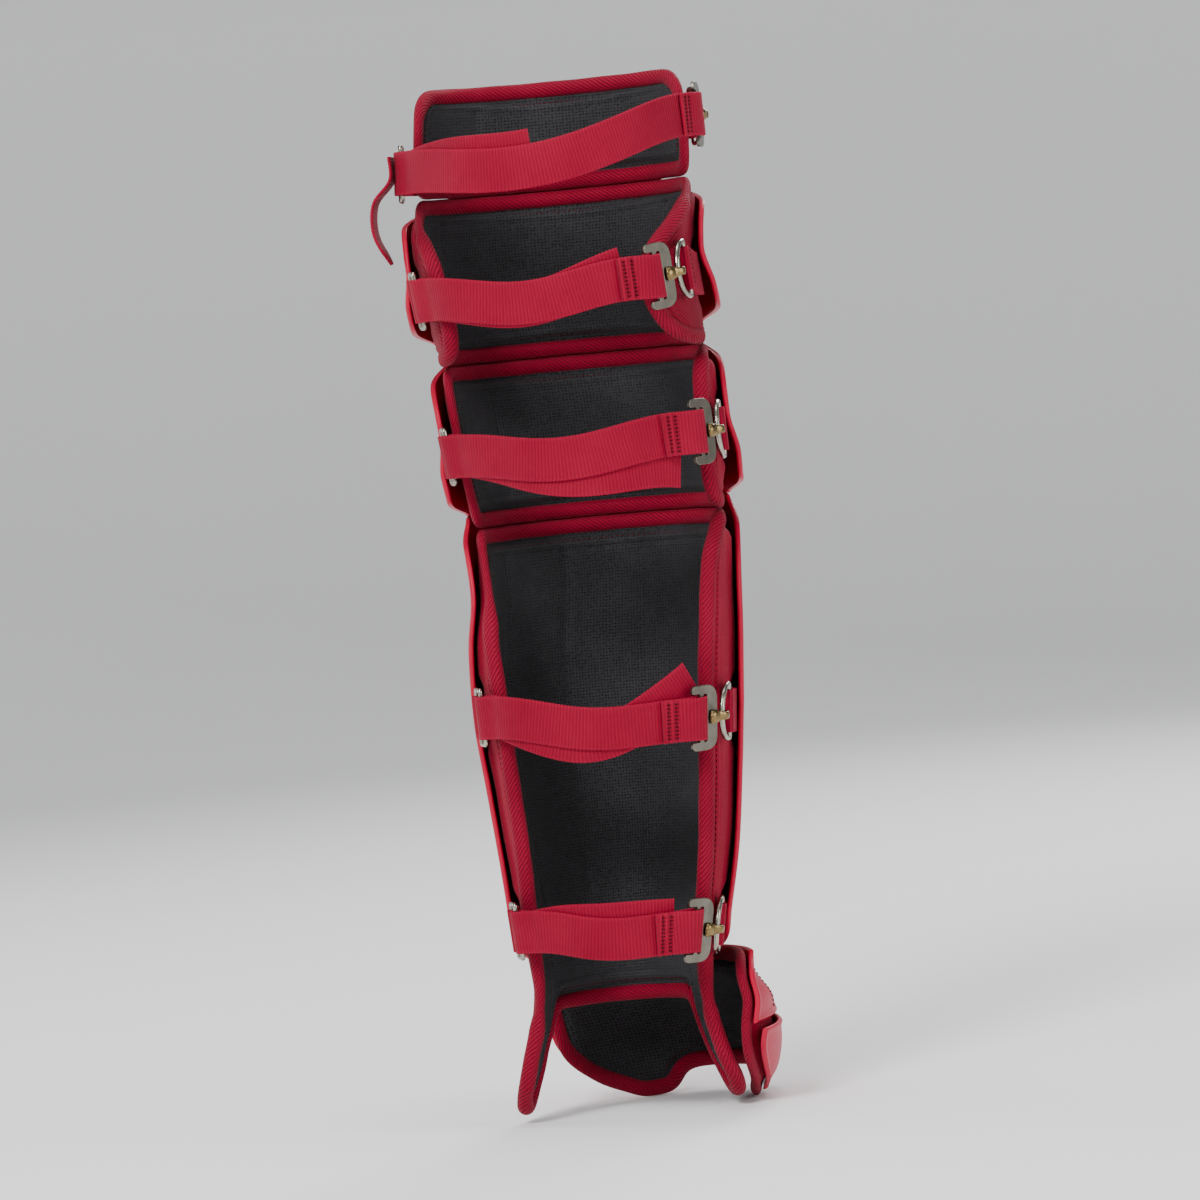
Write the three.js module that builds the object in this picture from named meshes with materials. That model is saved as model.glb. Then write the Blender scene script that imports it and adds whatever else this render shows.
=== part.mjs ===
import * as THREE from 'three';
import { mergeVertices } from 'three/addons/utils/BufferGeometryUtils.js';

// A right leg guard worn by a baseball catcher. The leg's axis is upright, its front faces -Y,
// +X is the inner (medial) side of the leg and -X the outer (lateral) side, where the hooks are.

// Driving dimensions, in millimetres: lengths along the leg
const SHIN_UP = 112; // seat at mid shin up to the top of the shin pad
const SHIN_DOWN = 162; // seat down to the lower end of the shin plate
const ANKLE_WING = 72; // ankle wings below the shin plate
const LOWER_KNEE = 96; // pad below the kneecap
const KNEE = 98; // pad over the kneecap
const THIGH = 64; // pad above the knee
const PLATE_LAP = 22; // each plate over the top of the next one down
const INSTEP_ARCH = 58; // how far the shin pad's front edge lies above the wing tips

// The leg that the guard is shaped round
const LEG_WIDTH = 133;
const LEG_DEPTH = 60; // axis to the front of the shin
const CALF_DEPTH = 68; // axis to the back of the calf

// Wall thicknesses and the gap between neighbours
const PAD = 12;
const PAD_SIDE = 5; // pad beside the leg, beyond the plates
const ROLL = 10; // bound edge of every pad
const PLATE = 2.6;
const KEEL = 5; // raised ridge down the front of the shin plate
const CLEARANCE = 0.3;
const KNEE_CROWN = 7; // doming of the knee plate off its pad
const LOWER_KNEE_CROWN = 3;
const LIP = 2; // plates' lower edges turned outwards
const PLATE_GAP = 1.3; // plate over its pad, at the corners of their facets

// Webbing and hardware
const WEB_WIDTH = 25;
const WEB = 1.7;
const TAB_WEB = 1.2;
const RING_WIRE = 3.2;
const RING_DEPTH = 17; // straight bar to the top of the bow
const RING_ARC = 20; // degrees round the leg from the hook to the straight bar
const TAB_ARC = 22; // sewn tab under the plate's edge
const NECK = 15; // length in which folded webbing closes up beside a bar
const SLIDER_WIRE = 2.8;
const SLIDER_DEPTH = 9; // between the two upright bars
const LOOP_MARGIN = 3.4; // ring or slider above and below its webbing
const HOOK_PLATE = 2.2; // sheet thickness of the flat hook
const HOOK_HEIGHT = 38;
const HOOK_WEB = 8; // solid strip beside the strap bar
const HOOK_BAR = 3; // bar that the strap folds round
const HOOK_ARM = 5.2; // arms above and below the strap
const HOOK_REACH = 6; // arms beyond the bar
const CLAW_WIDTH = 8;
const CLAW = 1.8; // thickness of the curled claw
const FOLD = 10; // strap end folded back and sewn, beyond its neck

// The toe guard points outwards with the foot
const TOE_TURN = 33; // degrees
const TOE_REACH = 114; // ankle axis to the front of the toe pad
const TOE_WIDTH = 136;
const TOE_LAP = 16; // how far the toe guard laps over the shin plate
const TOE_HEIGHT = 92;
const TOE_PAD = 6;
const TOE_GAP = 3; // between the two toe plates
const TOE_FLAP = 6; // outward flare of the lower plate's outer corner

const HALF = LEG_WIDTH / 2;
const REACH_DOWN = SHIN_DOWN + ANKLE_WING;
const shinTop = SHIN_UP;
const lowerKneeLow = shinTop + CLEARANCE;
const lowerKneeTop = lowerKneeLow + LOWER_KNEE;
const kneeLow = lowerKneeTop + CLEARANCE;
const kneeTop = kneeLow + KNEE;
const thighLow = kneeTop + CLEARANCE;
const thighTop = thighLow + THIGH;
const REACH_UP = thighTop;

// Leg form: height as a share of the reach up or down, the rest as shares of half the leg's width
// (shift towards the inner side, half width) and of the two depths.
const LEG_FORM = [
  { height: 1.0, shift: 0.05, width: 1.11, front: 1.0, back: 1.17 },
  { height: 0.85, shift: 0.075, width: 1.14, front: 1.07, back: 1.16 },
  { height: 0.71, shift: 0.12, width: 1.12, front: 1.2, back: 1.12 },
  { height: 0.58, shift: 0.045, width: 1.1, front: 1.17, back: 1.06 },
  { height: 0.43, shift: -0.015, width: 1.08, front: 1.1, back: 1.05 },
  { height: 0.3, shift: -0.06, width: 1.03, front: 1.05, back: 1.08 },
  { height: 0.2, shift: -0.065, width: 1.0, front: 1.02, back: 1.08 },
  { height: 0.115, shift: -0.02, width: 1.02, front: 1.01, back: 1.05 },
  { height: 0, shift: 0.01, width: 1.0, front: 1.0, back: 1.0 },
  { height: -0.18, shift: 0.017, width: 0.935, front: 0.95, back: 0.92 },
  { height: -0.37, shift: 0.033, width: 0.86, front: 0.9, back: 0.83 },
  { height: -0.555, shift: 0.08, width: 0.765, front: 0.85, back: 0.74 },
  { height: -0.68, shift: 0.105, width: 0.71, front: 0.83, back: 0.72 },
  { height: -0.77, shift: 0.125, width: 0.735, front: 0.84, back: 0.74 },
  { height: -0.86, shift: 0.135, width: 0.81, front: 0.88, back: 0.8 },
  { height: -1.0, shift: 0.12, width: 0.92, front: 0.92, back: 0.9 },
];

// How far each pad and plate wraps from the middle of the front, in degrees at each side,
// against the height as a share of its own length
const WRAPS = {
  shinPad: [
    { at: 0.0, inner: 97, outer: 97 },
    { at: 0.1, inner: 101, outer: 102 },
    { at: 0.2, inner: 105, outer: 110 },
    { at: 0.3, inner: 110, outer: 124 },
    { at: 0.42, inner: 116, outer: 128 },
    { at: 0.55, inner: 119, outer: 129 },
    { at: 0.68, inner: 121, outer: 130 },
    { at: 0.8, inner: 113, outer: 128 },
    { at: 0.92, inner: 96, outer: 123 },
    { at: 1.0, inner: 84, outer: 108 },
  ],
  lowerKneePad: [
    { at: 0.0, inner: 82, outer: 104 },
    { at: 0.15, inner: 88, outer: 116 },
    { at: 0.6, inner: 90, outer: 117 },
    { at: 0.88, inner: 88, outer: 111 },
    { at: 1.0, inner: 80, outer: 96 },
  ],
  kneePad: [
    { at: 0.0, inner: 96, outer: 98 },
    { at: 0.07, inner: 116, outer: 126 },
    { at: 0.17, inner: 121, outer: 138 },
    { at: 0.36, inner: 122, outer: 143 },
    { at: 0.56, inner: 120, outer: 138 },
    { at: 0.7, inner: 112, outer: 124 },
    { at: 0.84, inner: 96, outer: 106 },
    { at: 1.0, inner: 80, outer: 84 },
  ],
  thighPad: [
    { at: 0.0, inner: 80, outer: 80 },
    { at: 0.25, inner: 86, outer: 86 },
    { at: 0.75, inner: 84, outer: 84 },
    { at: 1.0, inner: 66, outer: 66 },
  ],
  shinPlate: [
    { at: 0.0, inner: 24, outer: 30 },
    { at: 0.03, inner: 48, outer: 58 },
    { at: 0.08, inner: 72, outer: 84 },
    { at: 0.14, inner: 90, outer: 95 },
    { at: 0.3, inner: 96, outer: 97 },
    { at: 0.8, inner: 97, outer: 97 },
    { at: 0.93, inner: 88, outer: 88 },
    { at: 1.0, inner: 70, outer: 70 },
  ],
  lowerKneePlate: [
    { at: 0.0, inner: 60, outer: 62 },
    { at: 0.1, inner: 84, outer: 86 },
    { at: 0.3, inner: 93, outer: 95 },
    { at: 0.65, inner: 94, outer: 96 },
    { at: 0.82, inner: 84, outer: 86 },
    { at: 1.0, inner: 56, outer: 56 },
  ],
  kneePlate: [
    { at: 0.0, inner: 58, outer: 58 },
    { at: 0.12, inner: 86, outer: 86 },
    { at: 0.3, inner: 97, outer: 97 },
    { at: 0.6, inner: 98, outer: 98 },
    { at: 0.82, inner: 88, outer: 90 },
    { at: 1.0, inner: 52, outer: 54 },
  ],
  thighPlate: [
    { at: 0.0, inner: 44, outer: 44 },
    { at: 0.3, inner: 48, outer: 48 },
    { at: 0.8, inner: 46, outer: 46 },
    { at: 1.0, inner: 32, outer: 32 },
  ],
};

// Degrees from the middle of the front to the furthest side edge of the plates on the leg
const plateReach = Math.max(...Object.entries(WRAPS).filter(([name]) => name.endsWith('Plate'))
  .flatMap(([, rows]) => rows.flatMap(({ inner, outer }) => [inner, outer])));

// Toe form against the share of its height below its top: half width and reach as shares of their
// named sizes, and the wrap of the pad and the plates at each side in degrees
const TOE_FORM = [
  { down: 0.0, width: 0.97, reach: 0.56, pad: 58, plate: 54 },
  { down: 0.15, width: 1.0, reach: 0.7, pad: 72, plate: 69 },
  { down: 0.3, width: 1.0, reach: 0.83, pad: 77, plate: 75 },
  { down: 0.47, width: 0.95, reach: 0.93, pad: 79, plate: 77 },
  { down: 0.64, width: 0.91, reach: 1.0, pad: 78, plate: 75 },
  { down: 0.82, width: 0.83, reach: 1.0, pad: 68, plate: 64 },
  { down: 1.0, width: 0.7, reach: 0.92, pad: 50, plate: 44 },
];
const TOE_SPLIT = 0.46; // share of the height where the upper toe plate ends

// Straps: level as a share of the length of the pad that carries them (up from its lower end),
// angles round the leg of the hook's front edge and of the slider, and of the pad's two edges there,
// the hook's lift and the dip of the back run in shares of the webbing width, slack off the leg,
// and the second layer's end angle with its drop in the middle and at the end
const STRAPS = [
  { name: 'thigh', pad: 'thigh', level: 0.24, hook: 92, slider: 86, innerEdge: 92, outerEdge: 100,
    hookLift: 0.74, dip: 0.5, slack: 5, layerEnd: 172, layerDrop: -0.2, endDrop: -0.35 },
  { name: 'knee', pad: 'knee', level: 0.4, hook: 131, slider: 104, innerEdge: 122, outerEdge: 143,
    hookLift: 0.06, dip: 0.3, slack: 5, layerEnd: 208, layerDrop: 0.12, endDrop: -0.25 },
  { name: 'lower_knee', pad: 'lowerKnee', level: 0.46, hook: 121, slider: 101, innerEdge: 106,
    outerEdge: 118, hookLift: 0.08, dip: 0.28, slack: 5, layerEnd: 222, layerDrop: 0.2, endDrop: 0.75 },
  { name: 'shin', pad: 'shin', level: 0.69, hook: 129, slider: 106, innerEdge: 121, outerEdge: 130,
    hookLift: -0.4, dip: 0.16, slack: 5, layerEnd: 221, layerDrop: 0.5, endDrop: -0.9 },
  { name: 'ankle', pad: 'shin', level: 0.325, hook: 126, slider: 104, innerEdge: 112, outerEdge: 127,
    hookLift: -0.26, dip: 0.1, slack: 5, layerEnd: 212, layerDrop: -0.26, endDrop: -0.3 },
];
// Loose strap end: distance out from its slider and down from it, in shares of the webbing width
const TAIL_FORM = [
  { out: 0, down: -0.4 },
  { out: 0.01, down: 0.1 },
  { out: 0.46, down: 0.7 },
  { out: 0.52, down: 1.35 },
  { out: 0.2, down: 2.1 },
];
const PAD_SPANS = {
  thigh: [thighLow, thighTop],
  knee: [kneeLow, kneeTop],
  lowerKnee: [lowerKneeLow, lowerKneeTop],
  shin: [-REACH_DOWN, shinTop],
};

const RED_PLATE = { color: 0xc8143c, roughness: 0.3, metalness: 0 };
const RED_CLOTH = { color: 0xa81236, roughness: 0.85, metalness: 0 };
const RED_WEBBING = { color: 0xb4103a, roughness: 0.8, metalness: 0 };
const NICKEL = { color: 0xb9b4ac, roughness: 0.3, metalness: 1 };
const BRASS = { color: 0xa8925f, roughness: 0.3, metalness: 1 };

const group = new THREE.Group();
group.position.y = LEG_DEPTH;

function add(name, geometry, look) {
  const mesh = new THREE.Mesh(geometry, new THREE.MeshStandardMaterial(look));
  mesh.name = name;
  group.add(mesh);
  return mesh;
}

const radians = THREE.MathUtils.degToRad;
const UP = new THREE.Vector3(0, 0, 1);
const smooth = THREE.MathUtils.smoothstep;
const mix = THREE.MathUtils.lerp;

// Smooth reading of one column of a table whose rows are in rising order of key
function read(table, key, column, at) {
  const rows = table[0][key] < table[1][key] ? table : [...table].reverse();
  const last = rows.length - 1;
  const x = THREE.MathUtils.clamp(at, rows[0][key], rows[last][key]);
  let i = 0;
  while (i < last - 1 && x > rows[i + 1][key]) i += 1;
  const slope = (k) => {
    if (k === 0 || k === last) return 0;
    return (rows[k + 1][column] - rows[k - 1][column]) / (rows[k + 1][key] - rows[k - 1][key]);
  };
  const span = rows[i + 1][key] - rows[i][key];
  const t = (x - rows[i][key]) / span;
  const t2 = t * t;
  const t3 = t2 * t;
  return (2 * t3 - 3 * t2 + 1) * rows[i][column] + (t3 - 2 * t2 + t) * span * slope(i)
    + (3 * t2 - 2 * t3) * rows[i + 1][column] + (t3 - t2) * span * slope(i + 1);
}

// Point on the leg form: angle in degrees from the middle of the front, positive to the inner
// side, height along the leg, and distance outside the leg
function onLeg(angle, height, out) {
  const share = height / (height > 0 ? REACH_UP : REACH_DOWN);
  const shift = read(LEG_FORM, 'height', 'shift', share) * HALF;
  const width = read(LEG_FORM, 'height', 'width', share) * HALF;
  const front = read(LEG_FORM, 'height', 'front', share) * LEG_DEPTH;
  const back = read(LEG_FORM, 'height', 'back', share) * CALF_DEPTH;
  const a = radians(angle);
  const depth = Math.cos(a) > 0 ? front : back;
  return new THREE.Vector3(
    shift + (width + out) * Math.sin(a), -(depth + out) * Math.cos(a), height);
}

// A place on the leg form with its level directions: back along the leg's skin, and outwards
function placeOnLeg(side, angle, height, out) {
  const step = 0.5;
  const point = onLeg(side * angle, height, out);
  const up = onLeg(side * angle, height + 10, out)
    .sub(onLeg(side * angle, height - 10, out)).normalize();
  const back = onLeg(side * (angle + step), height, out).sub(onLeg(side * (angle - step), height, out));
  back.addScaledVector(up, -back.dot(up)).normalize();
  const outward = new THREE.Vector3().crossVectors(up, back).multiplyScalar(side).negate();
  const perDegree = onLeg(side * (angle + step), height, out)
    .distanceTo(onLeg(side * (angle - step), height, out));
  return { point, back, up, outward, perDegree };
}

// Closed body from triangles, turned so that its faces point outwards
function bodyFrom(points, faces) {
  const geometry = new THREE.BufferGeometry();
  geometry.setAttribute('position', new THREE.Float32BufferAttribute(points.flatMap((p) => p.toArray()), 3));
  let volume = 0;
  for (const [i, j, k] of faces) {
    volume += points[i].dot(new THREE.Vector3().crossVectors(points[j], points[k]));
  }
  geometry.setIndex(faces.flatMap(([i, j, k]) => (volume > 0 ? [i, j, k] : [i, k, j])));
  return geometry;
}

// Closed wall between an inner and an outer sheet, both given by the same grid of u and v
function wall(us, vs, pointAt) {
  const points = [];
  const faces = [];
  const columns = us.length;
  const sheet = columns * vs.length;
  for (const side of [0, 1]) {
    for (const v of vs) for (const u of us) points.push(pointAt(u, v, side));
  }
  const quad = (i, j, k, l) => faces.push([i, j, k], [i, k, l]);
  for (let r = 0; r < vs.length - 1; r += 1) {
    for (let c = 0; c < columns - 1; c += 1) {
      const i = r * columns + c;
      quad(i, i + columns, i + columns + 1, i + 1);
      quad(sheet + i, sheet + i + 1, sheet + i + columns + 1, sheet + i + columns);
    }
  }
  const rim = [];
  for (let c = 0; c < columns - 1; c += 1) rim.push(c);
  for (let r = 0; r < vs.length - 1; r += 1) rim.push(r * columns + columns - 1);
  for (let c = columns - 1; c > 0; c -= 1) rim.push((vs.length - 1) * columns + c);
  for (let r = vs.length - 1; r > 0; r -= 1) rim.push(r * columns);
  rim.forEach((i, n) => {
    const j = rim[(n + 1) % rim.length];
    quad(i, j, sheet + j, sheet + i);
  });
  return bodyFrom(points, faces);
}

// Closed sweep of a flat convex section along stations, each with a point and two directions;
// a ring joins its last station to its first
function sweep(stations, section, ring = false) {
  const points = [];
  const faces = [];
  const n = section.length;
  for (const { point, across, normal } of stations) {
    for (const [a, b] of section) {
      points.push(point.clone().addScaledVector(across, a).addScaledVector(normal, b));
    }
  }
  const links = ring ? stations.length : stations.length - 1;
  for (let s = 0; s < links; s += 1) {
    const here = s * n;
    const next = ((s + 1) % stations.length) * n;
    for (let i = 0; i < n; i += 1) {
      const j = (i + 1) % n;
      faces.push([here + i, here + j, next + j], [here + i, next + j, next + i]);
    }
  }
  if (!ring) {
    const end = (stations.length - 1) * n;
    for (let i = 1; i < n - 1; i += 1) {
      faces.push([0, i + 1, i], [end, end + i, end + i + 1]);
    }
  }
  return bodyFrom(points, faces);
}

// Strip of webbing along a path, its width along one given direction or one for each point
function strip(path, across, width, thickness) {
  const stations = path.map((point, i) => {
    const along = path[Math.min(i + 1, path.length - 1)].clone().sub(path[Math.max(i - 1, 0)]);
    const wide = Array.isArray(across) ? across[i] : across;
    const side = wide.clone().addScaledVector(along, -wide.dot(along) / along.lengthSq()).normalize();
    return { point, across: side, normal: new THREE.Vector3().crossVectors(along, side).normalize() };
  });
  const w = width / 2;
  const t = thickness / 2;
  return sweep(stations, [[-w, -t], [w, -t], [w, t], [-w, t]]);
}

// Round wire bent to a closed loop that lies in the plane of two directions
function wireLoop(outline, centre, along, up, wire, sides = 6) {
  const facing = new THREE.Vector3().crossVectors(along, up);
  const place = ([a, b]) => centre.clone().addScaledVector(along, a).addScaledVector(up, b);
  const path = outline.map(place);
  const stations = path.map((point, i) => {
    const ahead = path[(i + 1) % path.length];
    const behind = path[(i + path.length - 1) % path.length];
    const onward = ahead.clone().sub(point).normalize();
    const before = point.clone().sub(behind).normalize();
    const direction = onward.clone().add(before).normalize();
    const stretch = 1 / Math.max(direction.dot(onward), 0.5);
    const across = new THREE.Vector3().crossVectors(direction, facing).normalize().multiplyScalar(stretch);
    return { point, across, normal: facing };
  });
  const section = [];
  for (let i = 0; i < sides; i += 1) {
    const a = (2 * Math.PI * i) / sides;
    section.push([(wire / 2) * Math.cos(a), (wire / 2) * Math.sin(a)]);
  }
  return sweep(stations, section, true);
}

// Grid shares from 0 to 1 with finer steps over the bound edge at both ends
function edgeShares(edge, steps) {
  const shares = [0, edge * 0.4];
  for (let i = 0; i <= steps; i += 1) shares.push(mix(edge, 1 - edge, i / steps));
  shares.push(1 - edge * 0.4, 1);
  return shares;
}
const edgeDistance = (share, edge) => Math.min(share, 1 - share) / edge;

// Outside of a pad: thick in front, thin beside the leg
const padOutside = (angle) => mix(PAD, PAD_SIDE, smooth(Math.abs(angle), 30, 95));
const tabRoom = 2 * TAB_WEB + 4 * CLEARANCE;
const plateInside = (angle) => padOutside(angle) + PLATE_GAP + tabRoom * smooth(Math.abs(angle), 30, 86);

// Pad: a padded wall with a bound edge that stands a little proud on both faces
function pad(wraps, low, high, columns, rows) {
  const edgeU = 0.05;
  const edgeV = 0.35 * ROLL / (high(0) - low(0)) + 0.02;
  return wall(edgeShares(edgeU, columns), edgeShares(edgeV, rows), (su, v, side) => {
    const u = 2 * su - 1;
    const height = mix(low(u), high(u), v);
    const share = (height - low(1)) / (high(1) - low(1));
    const angle = u * read(wraps, 'at', u > 0 ? 'inner' : 'outer', THREE.MathUtils.clamp(share, 0, 1));
    const near = Math.min(edgeDistance(su, edgeU), edgeDistance(v, edgeV));
    const body = padOutside(angle);
    if (near < 0.01) return onLeg(angle, height, side ? body * 0.72 : body * 0.28);
    const bare = Math.max(smooth(Math.abs(angle), plateReach, plateReach + 7),
      smooth(-height, SHIN_DOWN + 4, SHIN_DOWN + 12));
    const bulge = near < 0.99 ? Math.max(ROLL - body, 0) / 2 * bare : 0;
    return onLeg(angle, height, side ? body + bulge : -bulge);
  });
}

// Plate: a thin moulded wall outside the pads, standing off over the next plate at its lower end
function plate(wraps, low, high, columns, rows, ridge, crown, lap) {
  const us = Array.from({ length: columns + 1 }, (_, i) => i / columns);
  const vs = Array.from({ length: rows + 1 }, (_, i) => (1 - Math.cos((Math.PI * i) / rows)) / 2);
  return wall(us, vs, (su, v, side) => {
    const u = 2 * su - 1;
    const height = mix(low(u), high(u), v);
    const angle = u * read(wraps, 'at', u > 0 ? 'inner' : 'outer', v);
    const lifted = 1 - smooth(height, low(0) + PLATE_LAP * 1.3, low(0) + PLATE_LAP * 2.4);
    const over = lap * (PLATE + PLATE_GAP) * lifted + LIP * (1 - smooth(v, 0, 0.14));
    const keel = ridge(v) * Math.exp(-((angle / 13) ** 2));
    const dome = crown * Math.sin(Math.PI * v) * Math.cos(radians(angle * 0.9)) ** 2;
    return onLeg(angle, height, plateInside(angle) + over + keel + dome + (side ? PLATE : 0));
  });
}

const flat = (height) => () => height;

// Pads, from the ankle up. The shin pad's lower edge arches over the instep between two wings.
const shinPadLow = (u) => {
  const x = Math.abs(u);
  const wing = smooth(x, 0.5, 0.78);
  const tip = 0.2 * smooth(x, 0.86, 1);
  return -REACH_DOWN + INSTEP_ARCH * (1 - wing) + ANKLE_WING * tip;
};
add('shin_pad', pad(WRAPS.shinPad, shinPadLow, flat(shinTop), 16, 12), RED_CLOTH);
add('lower_knee_pad', pad(WRAPS.lowerKneePad, flat(lowerKneeLow), flat(lowerKneeTop), 16, 4), RED_CLOTH);
add('knee_pad', pad(WRAPS.kneePad, flat(kneeLow), flat(kneeTop), 16, 6), RED_CLOTH);
add('thigh_pad', pad(WRAPS.thighPad, flat(thighLow), flat(thighTop), 10, 3), RED_CLOTH);

// Plates, each over the top of the next one down
const kneePlateLow = kneeLow + PLATE_LAP * 0.2;
const lowerKneePlateLow = lowerKneeLow + PLATE_LAP * 0.1;
const shinPlateTop = lowerKneePlateLow + PLATE_LAP;
const lowerKneePlateTop = kneePlateLow + PLATE_LAP;
const kneePlateTop = kneeTop + PLATE_LAP * 0.45;
const thighPlateLow = kneePlateTop - PLATE_LAP;
const rounded = (height, fall) => (u) => height + fall * u * u;
add('shin_plate', plate(WRAPS.shinPlate, rounded(-SHIN_DOWN, 4), rounded(shinPlateTop, -PLATE_LAP * 0.8),
  18, 15, (v) => KEEL * smooth(v, 0.1, 0.3) * (1 - smooth(v, 0.75, 0.88)), 0, 0), RED_PLATE);
add('lower_knee_plate', plate(WRAPS.lowerKneePlate, rounded(lowerKneePlateLow, 5),
  rounded(lowerKneePlateTop, -PLATE_LAP), 18, 6, () => 0, LOWER_KNEE_CROWN, 1), RED_PLATE);
add('knee_plate', plate(WRAPS.kneePlate, rounded(kneePlateLow, 8),
  rounded(kneePlateTop, -PLATE_LAP * 0.6), 18, 7, () => 0, KNEE_CROWN, 1), RED_PLATE);
// The thigh plate's lower end is tucked behind the knee plate, which leaves it no lap of its own
add('thigh_plate', plate(WRAPS.thighPlate, rounded(thighPlateLow + PLATE_LAP + 1, 0),
  rounded(thighTop - 2, -10), 12, 3, () => 0, 0, 0), RED_PLATE);

// Toe guard: it lies on the shin plate's lower end and turns outwards below it
const toeTop = -SHIN_DOWN + TOE_LAP;
const toeCentre = onLeg(90, -SHIN_DOWN, 0).add(onLeg(-90, -SHIN_DOWN, 0)).multiplyScalar(0.5).setZ(0);
const toeSeat = PAD + PLATE_GAP + LIP + PLATE + 2 * CLEARANCE;

function onToe(angle, down, out) {
  const height = toeTop - down * TOE_HEIGHT;
  const seat = onLeg(angle - TOE_TURN, height, toeSeat + out);
  const width = (read(TOE_FORM, 'down', 'width', down) * TOE_WIDTH) / 2 + out;
  const reach = read(TOE_FORM, 'down', 'reach', down) * TOE_REACH + out;
  const a = radians(angle);
  const own = new THREE.Vector3(width * Math.sin(a), -reach * Math.cos(a), height)
    .applyAxisAngle(UP, radians(-TOE_TURN)).add(toeCentre);
  return seat.lerp(own, smooth(down, 0, 0.36));
}

function toeWall(column, from, to, us, vs, insideAt) {
  return wall(us, vs, (su, v, side) => {
    const u = 2 * su - 1;
    const down = mix(from(u), to(u), v);
    const angle = u * read(TOE_FORM, 'down', column, down);
    return onToe(angle, down, insideAt(u, v, su, side));
  });
}

const steps = (count) => Array.from({ length: count + 1 }, (_, i) => i / count);
const toeArch = (u) => 1 - 0.14 * (1 - smooth(Math.abs(u), 0.35, 0.75));
const toeEdge = 0.06;
const toePadAt = (u, v, su, side) => {
  const near = Math.min(edgeDistance(su, toeEdge), edgeDistance(v, toeEdge));
  return TOE_PAD * (near < 0.01 ? 0.25 + 0.5 * side : side);
};
add('toe_pad', toeWall('pad', () => 0, toeArch, edgeShares(toeEdge, 10), edgeShares(toeEdge, 8), toePadAt),
  RED_CLOTH);
const toePlateInside = TOE_PAD + PLATE_GAP + CLEARANCE;
add('toe_plate_upper', toeWall('plate', () => 0.01, () => TOE_SPLIT, steps(14), steps(6),
  (u, v, su, side) => toePlateInside + side * PLATE), RED_PLATE);
const splitLow = TOE_SPLIT + TOE_GAP / TOE_HEIGHT;
const flapAt = (u, v, su, side) => toePlateInside + side * PLATE
  + TOE_FLAP * smooth(-u, 0.4, 1) * (1 - v) ** 2;
add('toe_plate_lower', toeWall('plate', () => splitLow, (u) => toeArch(u) - 0.03, steps(14), steps(6), flapAt),
  RED_PLATE);

// Hardware on the outer side: a D-ring in a sewn tab, a flat hook whose claw holds the ring's bow,
// and on the inner side a wire slider in its own tab. A strap folds round the hook's bar at one
// end and round the slider's bar at the other, where its second layer starts.
const loopHalf = WEB_WIDTH / 2 + LOOP_MARGIN;
const rollOutside = (ROLL + PAD_SIDE) / 2;
const hookTurn = Math.hypot(HOOK_BAR, HOOK_PLATE) / 2 + CLEARANCE + WEB / 2;
const sliderTurn = SLIDER_WIRE / 2 + 2 * CLEARANCE + WEB / 2;
const runSeat = rollOutside + 2 * CLEARANCE + WEB / 2;
const hookSeat = runSeat + hookTurn;
const sliderSeat = runSeat + sliderTurn;
const layerPitch = WEB + 2 * CLEARANCE;

function along(place, distance, outwards = 0) {
  return place.point.clone().addScaledVector(place.back, distance).addScaledVector(place.outward, outwards);
}

// Half turn round a bar, from its leg side to its outer side, bulging in the given direction
function halfTurn(bar, towards, outward, radius) {
  const points = [];
  const turnSteps = 4;
  for (let i = 0; i <= turnSteps; i += 1) {
    const a = (Math.PI * i) / turnSteps - Math.PI / 2;
    points.push(bar.clone().addScaledVector(towards, radius * Math.cos(a))
      .addScaledVector(outward, radius * Math.sin(a)));
  }
  return points;
}

// Flat hook: open towards the back of the leg, with a bar across its mouth
function hookShape() {
  const half = HOOK_HEIGHT / 2;
  const bar = HOOK_WEB + hookTurn + WEB / 2 + CLEARANCE - HOOK_BAR / 2;
  const mouth = bar + HOOK_BAR;
  const tip = mouth + HOOK_REACH;
  const inner = half - HOOK_ARM;
  const corner = HOOK_ARM * 1.2;
  const shape = new THREE.Shape();
  shape.moveTo(corner, -half);
  shape.lineTo(tip, -half);
  shape.lineTo(tip, -inner);
  shape.lineTo(mouth, -inner);
  shape.lineTo(mouth, inner);
  shape.lineTo(tip, inner);
  shape.lineTo(tip, half);
  shape.lineTo(corner, half);
  shape.quadraticCurveTo(0, half, 0, half - corner);
  shape.lineTo(0, corner - half);
  shape.quadraticCurveTo(0, -half, corner, -half);
  const slot = new THREE.Path();
  slot.moveTo(HOOK_WEB, -inner);
  slot.lineTo(HOOK_WEB, inner);
  slot.lineTo(bar, inner);
  slot.lineTo(bar, -inner);
  slot.closePath();
  shape.holes.push(slot);
  return { shape, barAt: bar + HOOK_BAR / 2 };
}
const { shape: hookOutline, barAt: hookBarAt } = hookShape();

function hookPlate(name, place) {
  const depth = HOOK_PLATE;
  const geometry = new THREE.ExtrudeGeometry(hookOutline, { depth, bevelEnabled: false, curveSegments: 3 });
  geometry.translate(0, 0, -depth / 2);
  const facing = new THREE.Vector3().crossVectors(place.back, place.up);
  geometry.applyMatrix4(new THREE.Matrix4().makeBasis(place.back, place.up, facing).setPosition(place.point));
  geometry.deleteAttribute('normal');
  geometry.deleteAttribute('uv');
  add(`${name}_hook_plate`, mergeVertices(geometry), NICKEL);
}

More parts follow.
